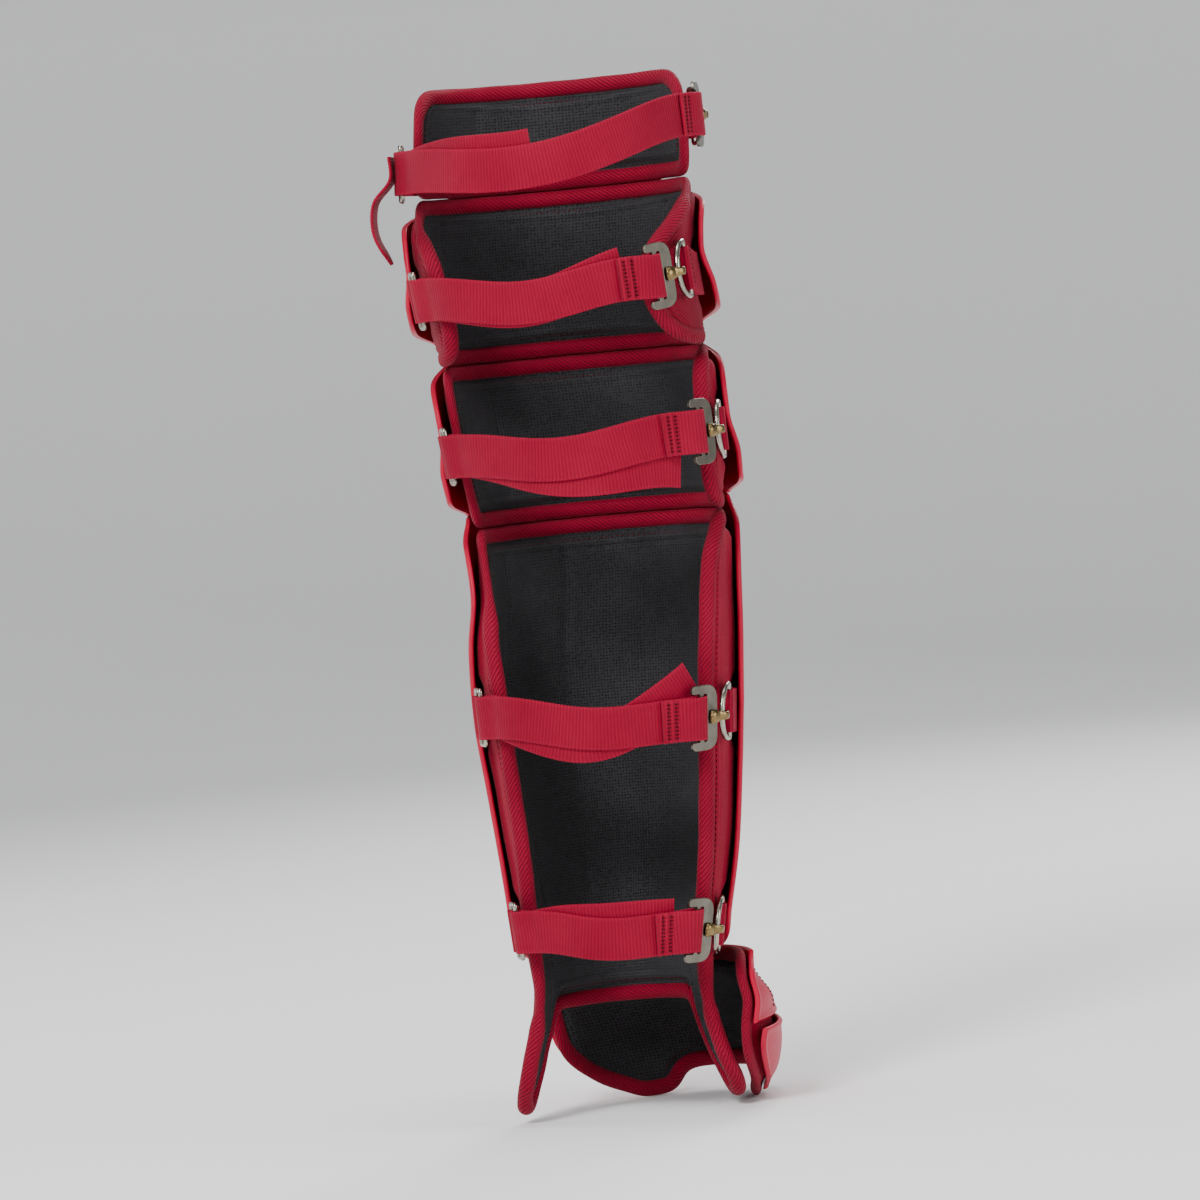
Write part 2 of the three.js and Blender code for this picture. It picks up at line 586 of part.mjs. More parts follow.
// Claw: riveted on the hook plate, over the ring's wire and round under it
const clawTurn = RING_WIRE / 2 + 3 * CLEARANCE + CLAW / 2;
const clawAhead = clawTurn + CLAW / 2 + CLEARANCE;
function claw(name, place) {
  const seat = HOOK_PLATE / 2 + CLEARANCE + CLAW / 2;
  const bow = along(place, -clawAhead);
  const path = [along(place, HOOK_WEB - 1, seat), along(place, 0, seat)];
  for (let degrees = 80; degrees >= -90; degrees -= 34) {
    const a = radians(degrees);
    path.push(bow.clone().addScaledVector(place.back, -clawTurn * Math.cos(a))
      .addScaledVector(place.outward, clawTurn * Math.sin(a)));
  }
  add(`${name}_claw`, strip(path, place.up, CLAW_WIDTH, CLAW), BRASS);
  return bow;
}

// D-ring: straight bar in the tab, bow towards the hook
function ringOutline() {
  const bow = 9;
  const outline = [[0, -loopHalf], [0, loopHalf]];
  for (let i = 1; i < bow; i += 1) {
    const a = Math.PI / 2 - (Math.PI * i) / bow;
    outline.push([RING_DEPTH * Math.cos(a) ** 0.8, loopHalf * Math.sin(a)]);
  }
  return outline;
}

// Sewn tab: webbing folded round a bar, with both ends under the plate's edge
function tab(name, bar, side, height, wire, endAngle, up) {
  const radius = wire / 2 + 1.5 * CLEARANCE + TAB_WEB / 2;
  const gap = TAB_WEB + 2 * CLEARANCE;
  const layer = (lift) => {
    const points = [];
    for (let angle = endAngle - TAB_ARC; angle < endAngle - 4; angle += 5) {
      const level = padOutside(angle) + 3 * CLEARANCE + TAB_WEB / 2 + lift;
      points.push(placeOnLeg(side, angle, height, level).point);
    }
    return points;
  };
  const lower = layer(0);
  const reach = bar.clone().sub(lower[lower.length - 1]);
  const direction = reach.clone().addScaledVector(up, -reach.dot(up)).normalize();
  const outward = new THREE.Vector3().crossVectors(up, direction).multiplyScalar(-side);
  const neck = bar.clone().addScaledVector(direction, -radius * 2);
  const path = [
    ...lower, neck.clone().addScaledVector(outward, -gap / 2),
    ...halfTurn(bar, direction, outward, radius),
    neck.clone().addScaledVector(outward, gap / 2), ...layer(gap).reverse(),
  ];
  add(name, strip(path, up, WEB_WIDTH, TAB_WEB), RED_WEBBING);
}

function fastenings(strap) {
  const [low, high] = PAD_SPANS[strap.pad];
  const level = mix(low, high, strap.level);
  const hookLevel = level + strap.hookLift * WEB_WIDTH;
  const { perDegree } = placeOnLeg(-1, strap.hook, hookLevel, hookSeat);
  const hookBarAngle = strap.hook + hookBarAt / perDegree;
  const hook = placeOnLeg(-1, hookBarAngle, hookLevel, hookSeat);
  hook.point = along(hook, -hookBarAt);
  hookPlate(strap.name, hook);
  const bow = claw(strap.name, hook);
  const ringAngle = strap.hook - RING_ARC;
  const ringSeat = padOutside(ringAngle) + 3 * CLEARANCE + TAB_WEB + RING_WIRE / 2;
  const aim = placeOnLeg(-1, ringAngle, hookLevel, ringSeat);
  const forward = aim.point.clone().sub(bow);
  forward.addScaledVector(hook.up, -forward.dot(hook.up)).normalize();
  const ringBar = bow.clone().addScaledVector(forward, RING_DEPTH);
  const towardsHook = forward.clone().negate();
  add(`${strap.name}_ring`, wireLoop(ringOutline(), ringBar, towardsHook, hook.up, RING_WIRE), NICKEL);
  tab(`${strap.name}_ring_tab`, ringBar, -1, hookLevel, RING_WIRE, ringAngle, hook.up);
  const slider = placeOnLeg(1, strap.slider, level, sliderSeat);
  const outline = [[0, -loopHalf], [0, loopHalf], [SLIDER_DEPTH, loopHalf], [SLIDER_DEPTH, -loopHalf]];
  const sliderWire = wireLoop(outline, slider.point, slider.back, slider.up, SLIDER_WIRE);
  add(`${strap.name}_slider`, sliderWire, NICKEL);
  tab(`${strap.name}_slider_tab`, slider.point, 1, level, SLIDER_WIRE, strap.slider, slider.up);
  return { level, hookLevel, hook, hookBarAngle, slider };
}

// Strap: second layer from its free end to the slider, round the slider's bar, round the back of
// the leg to the hook, round the hook's bar, and the sewn end folded back on the outside
function strapBand(strap, seats) {
  const { level, hookLevel, hook, hookBarAngle, slider } = seats;
  const hookBar = along(hook, hookBarAt);
  const sliderBar = along(slider, SLIDER_DEPTH);
  const fromAngle = strap.slider + (SLIDER_DEPTH + NECK) / slider.perDegree;
  const toAngle = 360 - hookBarAngle - NECK / hook.perDegree;
  const path = [];
  const across = [];
  const push = (point, up) => {
    path.push(point);
    across.push(up);
  };
  const outerAt = (angle) => strap.slack + (runSeat + layerPitch - strap.slack)
    * (1 - smooth(angle, strap.innerEdge + 2, strap.innerEdge + 36))
    + (runSeat - strap.slack) * smooth(angle, 324 - strap.outerEdge, 358 - strap.outerEdge);
  const run = (angle, extra, drop) => {
    const s = THREE.MathUtils.clamp((angle - fromAngle) / (toAngle - fromAngle), 0, 1);
    const sag = strap.dip * WEB_WIDTH * Math.sin(Math.PI * s) ** 2;
    const height = mix(level, hookLevel, smooth(s, 0, 1)) - sag;
    const out = outerAt(angle) + extra;
    const up = onLeg(angle, height + 5, out).sub(onLeg(angle, height - 5, out)).normalize();
    push(onLeg(angle, height, out).addScaledVector(up, -drop * WEB_WIDTH), up);
  };
  const layerSteps = 8;
  for (let i = 0; i <= layerSteps; i += 1) {
    const s = i / layerSteps;
    const drop = strap.layerDrop * Math.sin(Math.PI * s) + strap.endDrop * (1 - s) ** 2;
    run(mix(strap.layerEnd, fromAngle, s), -layerPitch, drop);
  }
  const turn = (bar, place, radius) => {
    const forwards = place.back.clone().negate();
    for (const point of halfTurn(bar, forwards, place.outward, radius)) push(point, place.up);
  };
  turn(sliderBar, slider, sliderTurn);
  const runSteps = 12;
  for (let i = 0; i <= runSteps; i += 1) run(mix(fromAngle, toAngle, i / runSteps), 0, 0);
  turn(hookBar, hook, hookTurn);
  const foldSteps = 4;
  const foldArc = FOLD / hook.perDegree;
  for (let i = 0; i <= foldSteps; i += 1) run(toAngle - (foldArc * i) / foldSteps, layerPitch + CLEARANCE, 0);
  return strip(path, across, WEB_WIDTH, WEB);
}

const seatsOf = {};
for (const strap of STRAPS) {
  const seats = fastenings(strap);
  seatsOf[strap.name] = seats;
  add(`${strap.name}_strap`, strapBand(strap, seats), RED_WEBBING);
}

// Loose end of the thigh strap: it hangs from the slider, bulging outwards, down to a pointed end
const { slider: thighSlider } = seatsOf.thigh;
const tailTop = along(thighSlider, SLIDER_DEPTH, sliderTurn + WEB + CLEARANCE);
const tailCurve = new THREE.CatmullRomCurve3(TAIL_FORM.map(({ out, down }) => tailTop.clone()
  .addScaledVector(thighSlider.outward, out * WEB_WIDTH).addScaledVector(UP, -down * WEB_WIDTH)));
add('thigh_strap_tail', strip(tailCurve.getPoints(12), thighSlider.back, WEB_WIDTH, WEB), RED_WEBBING);

export default group;
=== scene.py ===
import math
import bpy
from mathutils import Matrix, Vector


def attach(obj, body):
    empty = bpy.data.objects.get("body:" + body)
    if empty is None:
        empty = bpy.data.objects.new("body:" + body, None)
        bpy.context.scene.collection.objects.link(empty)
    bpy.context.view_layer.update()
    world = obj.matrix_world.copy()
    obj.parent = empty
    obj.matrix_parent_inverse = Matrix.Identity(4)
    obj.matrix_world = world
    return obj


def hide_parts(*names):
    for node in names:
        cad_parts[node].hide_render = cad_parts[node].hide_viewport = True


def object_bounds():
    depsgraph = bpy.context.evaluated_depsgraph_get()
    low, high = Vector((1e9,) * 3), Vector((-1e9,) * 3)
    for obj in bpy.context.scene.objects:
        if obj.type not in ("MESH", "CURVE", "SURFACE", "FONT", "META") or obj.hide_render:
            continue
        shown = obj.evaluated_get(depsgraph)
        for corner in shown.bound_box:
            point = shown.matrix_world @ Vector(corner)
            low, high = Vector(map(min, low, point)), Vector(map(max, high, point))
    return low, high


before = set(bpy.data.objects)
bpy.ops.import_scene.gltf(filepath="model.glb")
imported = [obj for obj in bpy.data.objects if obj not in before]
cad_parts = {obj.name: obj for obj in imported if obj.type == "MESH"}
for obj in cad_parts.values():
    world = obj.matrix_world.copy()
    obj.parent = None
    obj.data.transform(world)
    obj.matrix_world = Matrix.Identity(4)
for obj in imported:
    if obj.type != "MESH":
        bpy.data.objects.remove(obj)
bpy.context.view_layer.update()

from types import SimpleNamespace

import bpy
import numpy as np
from mathutils import Matrix, Vector

# Lengths are in millimetres in the leg's own frame: upright axis, front -Y, inner side +X.
# Pieces are moved by LEG_DEPTH to the part's frame and turned into metres when they are made.
SHIN_UP, SHIN_DOWN, ANKLE_WING = 112, 162, 72
LOWER_KNEE, KNEE, THIGH = 96, 98, 64
PLATE_LAP, INSTEP_ARCH = 22, 58
LEG_WIDTH, LEG_DEPTH, CALF_DEPTH = 133, 60, 68
PAD, PAD_SIDE, ROLL = 12, 5, 10
PLATE, KEEL, CLEARANCE = 2.6, 5, 0.3
KNEE_CROWN, LOWER_KNEE_CROWN, LIP, PLATE_GAP = 7, 3, 2, 1.3
WEB_WIDTH, WEB, TAB_WEB = 25, 1.7, 1.2
RING_WIRE, RING_DEPTH, RING_ARC, TAB_ARC, NECK = 3.2, 17, 20, 22, 15
SLIDER_WIRE, SLIDER_DEPTH, LOOP_MARGIN = 2.8, 9, 3.4
HOOK_PLATE, HOOK_HEIGHT, HOOK_WEB, HOOK_BAR, HOOK_ARM, HOOK_REACH = 2.2, 38, 8, 3, 5.2, 6
CLAW_WIDTH, CLAW, FOLD = 8, 1.8, 10
TOE_TURN, TOE_REACH, TOE_WIDTH, TOE_LAP, TOE_HEIGHT = 33, 114, 136, 16, 92
TOE_PAD, TOE_GAP, TOE_FLAP, TOE_SPLIT = 6, 3, 6, 0.46

HALF = LEG_WIDTH / 2
REACH_DOWN = SHIN_DOWN + ANKLE_WING
LOWER_KNEE_LOW = SHIN_UP + CLEARANCE
LOWER_KNEE_TOP = LOWER_KNEE_LOW + LOWER_KNEE
KNEE_LOW = LOWER_KNEE_TOP + CLEARANCE
KNEE_TOP = KNEE_LOW + KNEE
THIGH_LOW = KNEE_TOP + CLEARANCE
THIGH_TOP = THIGH_LOW + THIGH
PER_DEGREE = 1.15  # millimetres round the leg for a degree, near enough for insets
TOE_PER_DEGREE = PER_DEGREE * 1.3
PLATE_REACH = 98  # degrees round the leg to the widest plate's side

BINDING = 4.7  # radius of the bound edge
BINDING_SIDES = 18
PAD_INSET = 5.0  # a pad's faces start this far inside its border, under the bound edge
SEAM = 10.5  # seam between the bound edge and the pad's face, from the pad's border
SEAM_STITCHES = SEAM + 2.2
SEAM_SHARE = 0.3  # share of a pad's thickness that is left at its seam
PRESSED_LINE = SEAM + 7.5  # faint line that the stuffing shows beside the seam
CHANNEL_WIDTH, CHANNEL_DEPTH = 1.7, 1.6  # sewn channels in the lining, width in degrees
RIB = 2.0  # pitch of the webbing's cross ribs
TWILL = 1.9  # pitch of the twill's cords
SWELL = 2.5  # foam's rise under the plates' sides
SAW = 0.24  # how far the ribs stand out at the webbing's edges
SEWN_DOWN = 0.75  # how far stitches pull a strap's fold down
HOOK_BEVEL = 0.45
CLAW_BEND = np.arange(78, -92, -12)  # degrees round the ring's wire
RIVET_RADIUS, RIVET_RISE = 3.5, 1.5
RING_CORNER, SLIDER_CORNER = 0.9, 0.8  # blur that rounds the wires' corners


def table(columns, rows):
    return dict(zip(columns.split(), np.array(sorted(rows), float).T))


LEG_FORM = table("height shift width front back", [
    (1.0, 0.05, 1.11, 1.0, 1.17), (0.85, 0.075, 1.14, 1.07, 1.16), (0.71, 0.12, 1.12, 1.2, 1.12),
    (0.58, 0.045, 1.1, 1.17, 1.06), (0.43, -0.015, 1.08, 1.1, 1.05), (0.3, -0.06, 1.03, 1.05, 1.08),
    (0.2, -0.065, 1.0, 1.02, 1.08), (0.115, -0.02, 1.02, 1.01, 1.05), (0, 0.01, 1.0, 1.0, 1.0),
    (-0.18, 0.017, 0.935, 0.95, 0.92), (-0.37, 0.033, 0.86, 0.9, 0.83),
    (-0.555, 0.08, 0.765, 0.85, 0.74), (-0.68, 0.105, 0.71, 0.83, 0.72),
    (-0.77, 0.125, 0.735, 0.84, 0.74), (-0.86, 0.135, 0.81, 0.88, 0.8), (-1.0, 0.12, 0.92, 0.92, 0.9),
])
WRAPS = {name: table("at inner outer", rows) for name, rows in {
    "shin_pad": [(0.0, 97, 97), (0.1, 101, 102), (0.2, 105, 110), (0.3, 110, 124), (0.42, 116, 128),
                 (0.55, 119, 129), (0.68, 121, 130), (0.8, 113, 128), (0.92, 96, 123), (1.0, 84, 108)],
    "lower_knee_pad": [(0.0, 82, 104), (0.15, 88, 116), (0.6, 90, 117), (0.88, 88, 111), (1.0, 80, 96)],
    "knee_pad": [(0.0, 96, 98), (0.07, 116, 126), (0.17, 121, 138), (0.36, 122, 143),
                 (0.56, 120, 138), (0.7, 112, 124), (0.84, 96, 106), (1.0, 80, 84)],
    "thigh_pad": [(0.0, 80, 80), (0.25, 86, 86), (0.75, 84, 84), (1.0, 66, 66)],
    "shin_plate": [(0.0, 24, 30), (0.03, 48, 58), (0.08, 72, 84), (0.14, 90, 95), (0.3, 96, 97),
                   (0.8, 97, 97), (0.93, 88, 88), (1.0, 70, 70)],
    "lower_knee_plate": [(0.0, 60, 62), (0.1, 84, 86), (0.3, 93, 95), (0.65, 94, 96), (0.82, 84, 86),
                         (1.0, 56, 56)],
    "knee_plate": [(0.0, 58, 58), (0.12, 86, 86), (0.3, 97, 97), (0.6, 98, 98), (0.82, 88, 90),
                   (1.0, 52, 54)],
    "thigh_plate": [(0.0, 44, 44), (0.3, 48, 48), (0.8, 46, 46), (1.0, 32, 32)],
}.items()}
TOE_FORM = table("down width reach pad plate", [
    (0.0, 0.97, 0.56, 58, 54), (0.15, 1.0, 0.7, 72, 69), (0.3, 1.0, 0.83, 77, 75),
    (0.47, 0.95, 0.93, 79, 77), (0.64, 0.91, 1.0, 78, 75), (0.82, 0.83, 1.0, 68, 64),
    (1.0, 0.7, 0.92, 50, 44),
])
# Angles in degrees; lift, dip and drops in webbing widths; slack in millimetres
STRAP_COLUMNS = "name pad level hook slider inner outer lift dip slack layer_end layer_drop end_drop"
STRAPS = [SimpleNamespace(**dict(zip(STRAP_COLUMNS.split(), row))) for row in [
    ("thigh", "thigh_pad", 0.24, 92, 86, 92, 100, 0.74, 0.5, 5, 172, -0.2, -0.35),
    ("knee", "knee_pad", 0.4, 131, 104, 122, 143, 0.06, 0.3, 5, 208, 0.12, -0.25),
    ("lower_knee", "lower_knee_pad", 0.46, 121, 101, 106, 118, 0.08, 0.28, 5, 222, 0.2, 0.75),
    ("shin", "shin_pad", 0.69, 129, 106, 121, 130, -0.4, 0.16, 5, 221, 0.5, -0.9),
    ("ankle", "shin_pad", 0.325, 126, 104, 112, 127, -0.26, 0.1, 5, 212, -0.26, -0.3),
]]
TAIL_FORM = [(0, -0.4), (0.01, 0.1), (0.46, 0.7), (0.52, 1.35), (0.2, 2.1)]  # out, down


def smooth(x, low, high):
    t = np.clip((np.asarray(x, float) - low) / (high - low), 0, 1)
    return t * t * (3 - 2 * t)


def mix(a, b, t):
    return a + (b - a) * t


def hermite(t, span, start, end, slope_in, slope_out):
    """Cubic between two values with the given slopes"""
    return ((2 * t**3 - 3 * t**2 + 1) * start + (t**3 - 2 * t**2 + t) * span * slope_in
            + (3 * t**2 - 2 * t**3) * end + (t**3 - t**2) * span * slope_out)


def read(form, column, at):
    """Smooth reading of one column of a table by its first column"""
    keys = next(iter(form.values()))
    values = form[column]
    slope = np.zeros(len(keys))
    slope[1:-1] = (values[2:] - values[:-2]) / (keys[2:] - keys[:-2])
    x = np.clip(at, keys[0], keys[-1])
    i = np.clip(np.searchsorted(keys, x) - 1, 0, len(keys) - 2)
    span = keys[i + 1] - keys[i]
    return hermite((x - keys[i]) / span, span, values[i], values[i + 1], slope[i], slope[i + 1])


def arrays(*values):
    return np.broadcast_arrays(*(np.asarray(value, float) for value in values))


def on_leg(angle, height, out=0.0):
    angle, height, out = arrays(angle, height, out)
    share = height / np.where(height > 0, THIGH_TOP, REACH_DOWN)
    a = np.radians(angle)
    width = read(LEG_FORM, "width", share) * HALF
    depth = np.where(np.cos(a) > 0, read(LEG_FORM, "front", share) * LEG_DEPTH,
                     read(LEG_FORM, "back", share) * CALF_DEPTH)
    shift = read(LEG_FORM, "shift", share) * HALF
    return np.stack([shift + (width + out) * np.sin(a), -(depth + out) * np.cos(a), height], -1)


def unit(v):
    return v / np.maximum(np.linalg.norm(v, axis=-1, keepdims=True), 1e-9)


def square_to(axis, v):
    """Direction of v with its part along an axis taken out"""
    return unit(v - axis * np.sum(v * axis, -1, keepdims=True))


def place_on_leg(side, angle, height, out):
    """Place on the leg with its directions: up, back along the skin, outwards"""
    up = unit(on_leg(side * angle, height + 10, out) - on_leg(side * angle, height - 10, out))
    step = on_leg(side * (angle + 0.5), height, out) - on_leg(side * (angle - 0.5), height, out)
    back = square_to(up, step)
    return SimpleNamespace(point=on_leg(side * angle, height, out), up=up, back=back,
                           outward=-side * np.cross(up, back), per_degree=np.linalg.norm(step))


def along(place, distance, outwards=0.0):
    return place.point + place.back * distance + place.outward * outwards


TOE_TOP = -SHIN_DOWN + TOE_LAP
TOE_CENTRE = (on_leg(90, -SHIN_DOWN) + on_leg(-90, -SHIN_DOWN)) / 2 * [1, 1, 0]
TOE_SEAT = PAD + PLATE_GAP + LIP + PLATE + 2 * CLEARANCE


def on_toe(angle, height, out=0.0):
    """Point on the toe guard; height is measured down from its top, so it is negative"""
    angle, height, out = arrays(angle, height, out)
    down = -height / TOE_HEIGHT
    z = TOE_TOP + height
    seat = on_leg(angle - TOE_TURN, z, TOE_SEAT + out)
    a, turn = np.radians(angle), math.radians(TOE_TURN)
    x = (read(TOE_FORM, "width", down) * TOE_WIDTH / 2 + out) * np.sin(a)
    y = -(read(TOE_FORM, "reach", down) * TOE_REACH + out) * np.cos(a)
    own = np.stack([x * math.cos(turn) + y * math.sin(turn),
                    y * math.cos(turn) - x * math.sin(turn), z], -1) + TOE_CENTRE
    return mix(seat, own, smooth(down, 0, 0.36)[..., None])


def pad_outside(angle):
    return mix(PAD, PAD_SIDE, smooth(np.abs(angle), 30, 95))


TAB_ROOM = 2 * TAB_WEB + 4 * CLEARANCE


def plate_inside(angle):
    return pad_outside(angle) + PLATE_GAP + TAB_ROOM * smooth(np.abs(angle), 30, 86)


def uneven(x, y, z):
    """Slight unevenness of hand-sewn foam, from -1 to 1"""
    return (np.sin(x * 0.11 + z * 0.043) * np.sin(y * 0.09 - z * 0.061)
            + np.sin(x * 0.047 - y * 0.083 + z * 0.118)) / 2


# Meshes

class Shape:
    """Quads gathered for one mesh"""

    def __init__(self):
        self.points, self.faces, self.uvs, self.kinds, self.count = [], [], [], [], 0

    def grid(self, points, uv, close_rows=False, close_columns=False, kind=0):
        rows, columns = points.shape[:2]
        r = np.arange(rows if close_rows else rows - 1)
        c = np.arange(columns if close_columns else columns - 1)
        rr, cc = (g.ravel() for g in np.meshgrid(r, c, indexing="ij"))
        corners = [(rr, cc), (rr, cc + 1), (rr + 1, cc + 1), (rr + 1, cc)]
        faces = np.stack([(a % rows) * columns + b % columns for a, b in corners], -1)
        uvs = np.stack([uv[a, b] for a, b in corners], 1)
        flat = points.reshape(-1, 3)
        if close_columns:
            p = flat[faces]
            middle = flat.mean(0)
            volume = np.einsum("ij,ij->i", p[:, 0] - middle, np.cross(p[:, 1] - middle, p[:, 2] - middle))
            if volume.sum() < 0:
                faces, uvs = faces[:, ::-1], uvs[:, ::-1]
        self.points.append(flat)
        self.faces.append(faces + self.count)
        self.uvs.append(uvs)
        self.kinds.append(np.full(len(faces), kind))
        self.count += len(flat)

    def join(self, other):
        self.points += other.points
        self.faces += [faces + self.count for faces in other.faces]
        self.uvs += other.uvs
        self.kinds += other.kinds
        self.count += other.count


def fit_uv(u, v):
    """UV grid from row values u and column values v, in millimetres"""
    return np.stack(np.broadcast_arrays(u[:, None], v[None]), -1)


def put(name, data):
    obj = bpy.data.objects.new(name, data)
    bpy.context.scene.collection.objects.link(obj)
    return obj


def add_piece(name, mesh, materials, nodes):
    for material in materials:
        mesh.materials.append(material)
    obj = put(f"{name}_look" if nodes else name, mesh)
    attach(obj, "root")
    if nodes:
        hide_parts(*nodes)


def piece(name, shape, materials, nodes=()):
    points = (np.concatenate(shape.points) + [0, LEG_DEPTH, 0]) / 1000
    faces = np.concatenate(shape.faces)
    mesh = bpy.data.meshes.new(name)
    mesh.vertices.add(len(points))
    mesh.vertices.foreach_set("co", points.astype(np.float32).ravel())
    mesh.loops.add(faces.size)
    mesh.loops.foreach_set("vertex_index", faces.ravel().astype(np.int32))
    mesh.polygons.add(len(faces))
    mesh.polygons.foreach_set("loop_start", np.arange(0, faces.size, 4, dtype=np.int32))
    mesh.polygons.foreach_set("material_index", np.concatenate(shape.kinds).astype(np.int32))
    mesh.update(calc_edges=True)
    mesh.uv_layers.new(name="uv").data.foreach_set(
        "uv", np.concatenate(shape.uvs).astype(np.float32).ravel())
    mesh.polygons.foreach_set("use_smooth", np.ones(len(faces), bool))
    mesh.update()
    add_piece(name, mesh, materials, nodes)


def lengths(points):
    return np.concatenate([[0], np.cumsum(np.linalg.norm(np.diff(points, axis=0), axis=1))])


def sample(at, lengths_along, rows):
    """Rows of values at distances along a line"""
    return np.stack([np.interp(at, lengths_along, column) for column in rows.T], -1)


def closed(rows):
    return np.concatenate([rows, rows[:1]])


def ring_ahead(points):
    return unit(np.roll(points, -1, 0) - np.roll(points, 1, 0))


def sheet_lengths(sheet):
    """Distances along the rows of a sheet of points, and from each point to the sheet's border"""
    rows, columns = sheet.shape[:2]
    du = np.concatenate([np.zeros((rows, 1)),
                         np.cumsum(np.linalg.norm(np.diff(sheet, axis=1), axis=2), 1)], 1)
    dv = np.concatenate([np.zeros((1, columns)),
                         np.cumsum(np.linalg.norm(np.diff(sheet, axis=0), axis=2), 0)], 0)
    return du, np.minimum(np.minimum(du, du[:, -1:] - du), np.minimum(dv, dv[-1:] - dv))


def spline(points, step, *others):
    """Smooth line through points, evenly stepped, with other rows of values carried along"""
    points = np.asarray(points, float)
    knots = lengths(points)
    slopes = np.gradient(points, knots, axis=0)
    at = np.linspace(0, knots[-1], max(int(knots[-1] / step * 2), 8))
    i = np.clip(np.searchsorted(knots, at) - 1, 0, len(knots) - 2)
    span = (knots[i + 1] - knots[i])[:, None]
    t = (at[:, None] - knots[i][:, None]) / span
    line = hermite(t, span, points[i], points[i + 1], slopes[i], slopes[i + 1])
    measured = lengths(line)
    even = np.linspace(0, measured[-1], max(int(measured[-1] / step), 4) + 1)
    where = np.interp(even, measured, at)
    carried = (sample(where, knots, np.asarray(other, float)) for other in others)
    return (sample(even, measured, line), *carried, even)


def around(line, side, normal, x, y):
    """Rows of points round a line, x and y out from it along its sides and normals"""
    return line[:, None] + side[:, None] * x[..., None] + normal[:, None] * y[..., None]


def webbing(shape, path, across, width, thick, tip=0.0, step=0.5):
    """Woven strip: ribbed and serrated edges, rounded selvedge; tip is the length of a pointed end"""
    line, wide, s = spline(path, step, across)
    ahead = unit(np.gradient(line, axis=0))
    side = square_to(ahead, wide)
    normal = np.cross(ahead, side)
    t = thick / 2
    face = np.linspace(-1, 1, 5)
    turn = np.radians(np.linspace(67, -67, 4))
    edge = np.stack([width / 2 - t + t * np.cos(turn), t * np.sin(turn)], -1)
    top = np.stack([face * (width / 2 - t), np.full(5, t)], -1)
    section = np.concatenate([top, edge, top[::-1] * [1, -1], -edge])
    grow = 1 + SAW * np.cos(2 * np.pi * s / RIB) / (width / 2)
    taper = np.ones(len(s)) if not tip else np.sqrt(np.clip((s[-1] - s) / tip, 0.02, 1))
    rib = 1 + 0.05 * np.cos(2 * np.pi * s / RIB)
    x = section[None, :, 0] * (grow * taper)[:, None]
    y = section[None, :, 1] * rib[:, None]
    points = around(line, side, normal, x, y)
    caps = []
    for end in (0, -1):
        flat = line[end] + side[end] * x[end][:, None] + normal[end] * (y[end] * 0.02)[:, None]
        caps.append(flat[None])
    points = np.concatenate([caps[0], points, caps[1]])
    u = np.concatenate([[s[0]], s, [s[-1]]])
    v = np.append(section[:, 0] + np.sign(section[:, 1]) * 0.01, section[0, 0])
    shape.grid(points, fit_uv(u, v), close_columns=True)


def sweep(shape, line, side, normal, profile, u, ring=False, taper=None):
    """Round section (a, b for each column) along a line"""
    scale = np.ones(len(line)) if taper is None else taper
    points = around(line, side, normal, *(profile.T[:, None] * scale[None, :, None]))
    v = np.linspace(0, np.linalg.norm(profile[0]) * 2 * np.pi, len(profile) + 1)
    u = np.append(u, u[-1] + u[1] - u[0]) if ring else u
    shape.grid(points, fit_uv(u, v), close_rows=ring, close_columns=True)


def circle(radius, sides):
    a = np.linspace(0, 2 * np.pi, sides, endpoint=False)
    return np.stack([radius * np.cos(a), radius * np.sin(a)], -1)


def smooth_ring(values, sigma):
    """Blur of a closed run of values, sigma in samples"""
    n = len(values)
    k = np.minimum(np.arange(n), n - np.arange(n))
    kernel = np.exp(-0.5 * (k / sigma) ** 2)
    kernel /= kernel.sum()
    spectrum = np.fft.rfft(kernel)[:, None] * np.fft.rfft(values, axis=0)
    return np.fft.irfft(spectrum, n, axis=0)


def even_ring(values, points, step):
    """Values of a closed run at even distances along its points"""
    s = lengths(closed(points))
    n = int(s[-1] / step)
    return sample(np.arange(n) * s[-1] / n, s, closed(values)), s[-1] / n


def wire_ring(shape, outline, centre, ahead, up, wire, corner):
    """Round wire bent to a closed loop; outline is in the plane of two directions"""
    outline = np.asarray(outline, float)
    flat, step = even_ring(outline, outline, 0.6)
    flat = smooth_ring(flat, corner / step)
    line = centre + flat[:, :1] * ahead + flat[:, 1:] * up
    facing = np.cross(ahead, up)
    side = unit(np.cross(ring_ahead(line), facing))
    sweep(shape, line, side, np.tile(facing, (len(line), 1)), circle(wire / 2, 14),
          np.arange(len(line)) * step, ring=True)


def stitch(shape, points, normals, pitch=3.3, share=0.7, radius=0.36, ring=False):
    """Row of sewn stitches along a line of points"""
    if ring:
        points, normals = closed(points), closed(normals)
    s = lengths(points)
    count = max(int(s[-1] / pitch), 1)
    t = np.linspace(-1, 1, 5)
    lift = (1 - t**2) * radius * 0.9
    thin = np.sqrt(np.clip(1 - (t * 0.96) ** 2, 0, 1))
    for i in range(count):
        at = (i + 0.5) * s[-1] / count + t * pitch * share / 2
        line = sample(at, s, points)
        normal = unit(sample(at, s, normals))
        side = unit(np.cross(np.gradient(line, axis=0), normal))
        sweep(shape, line + normal * lift[:, None], side, normal, circle(radius, 5), at, taper=thin)


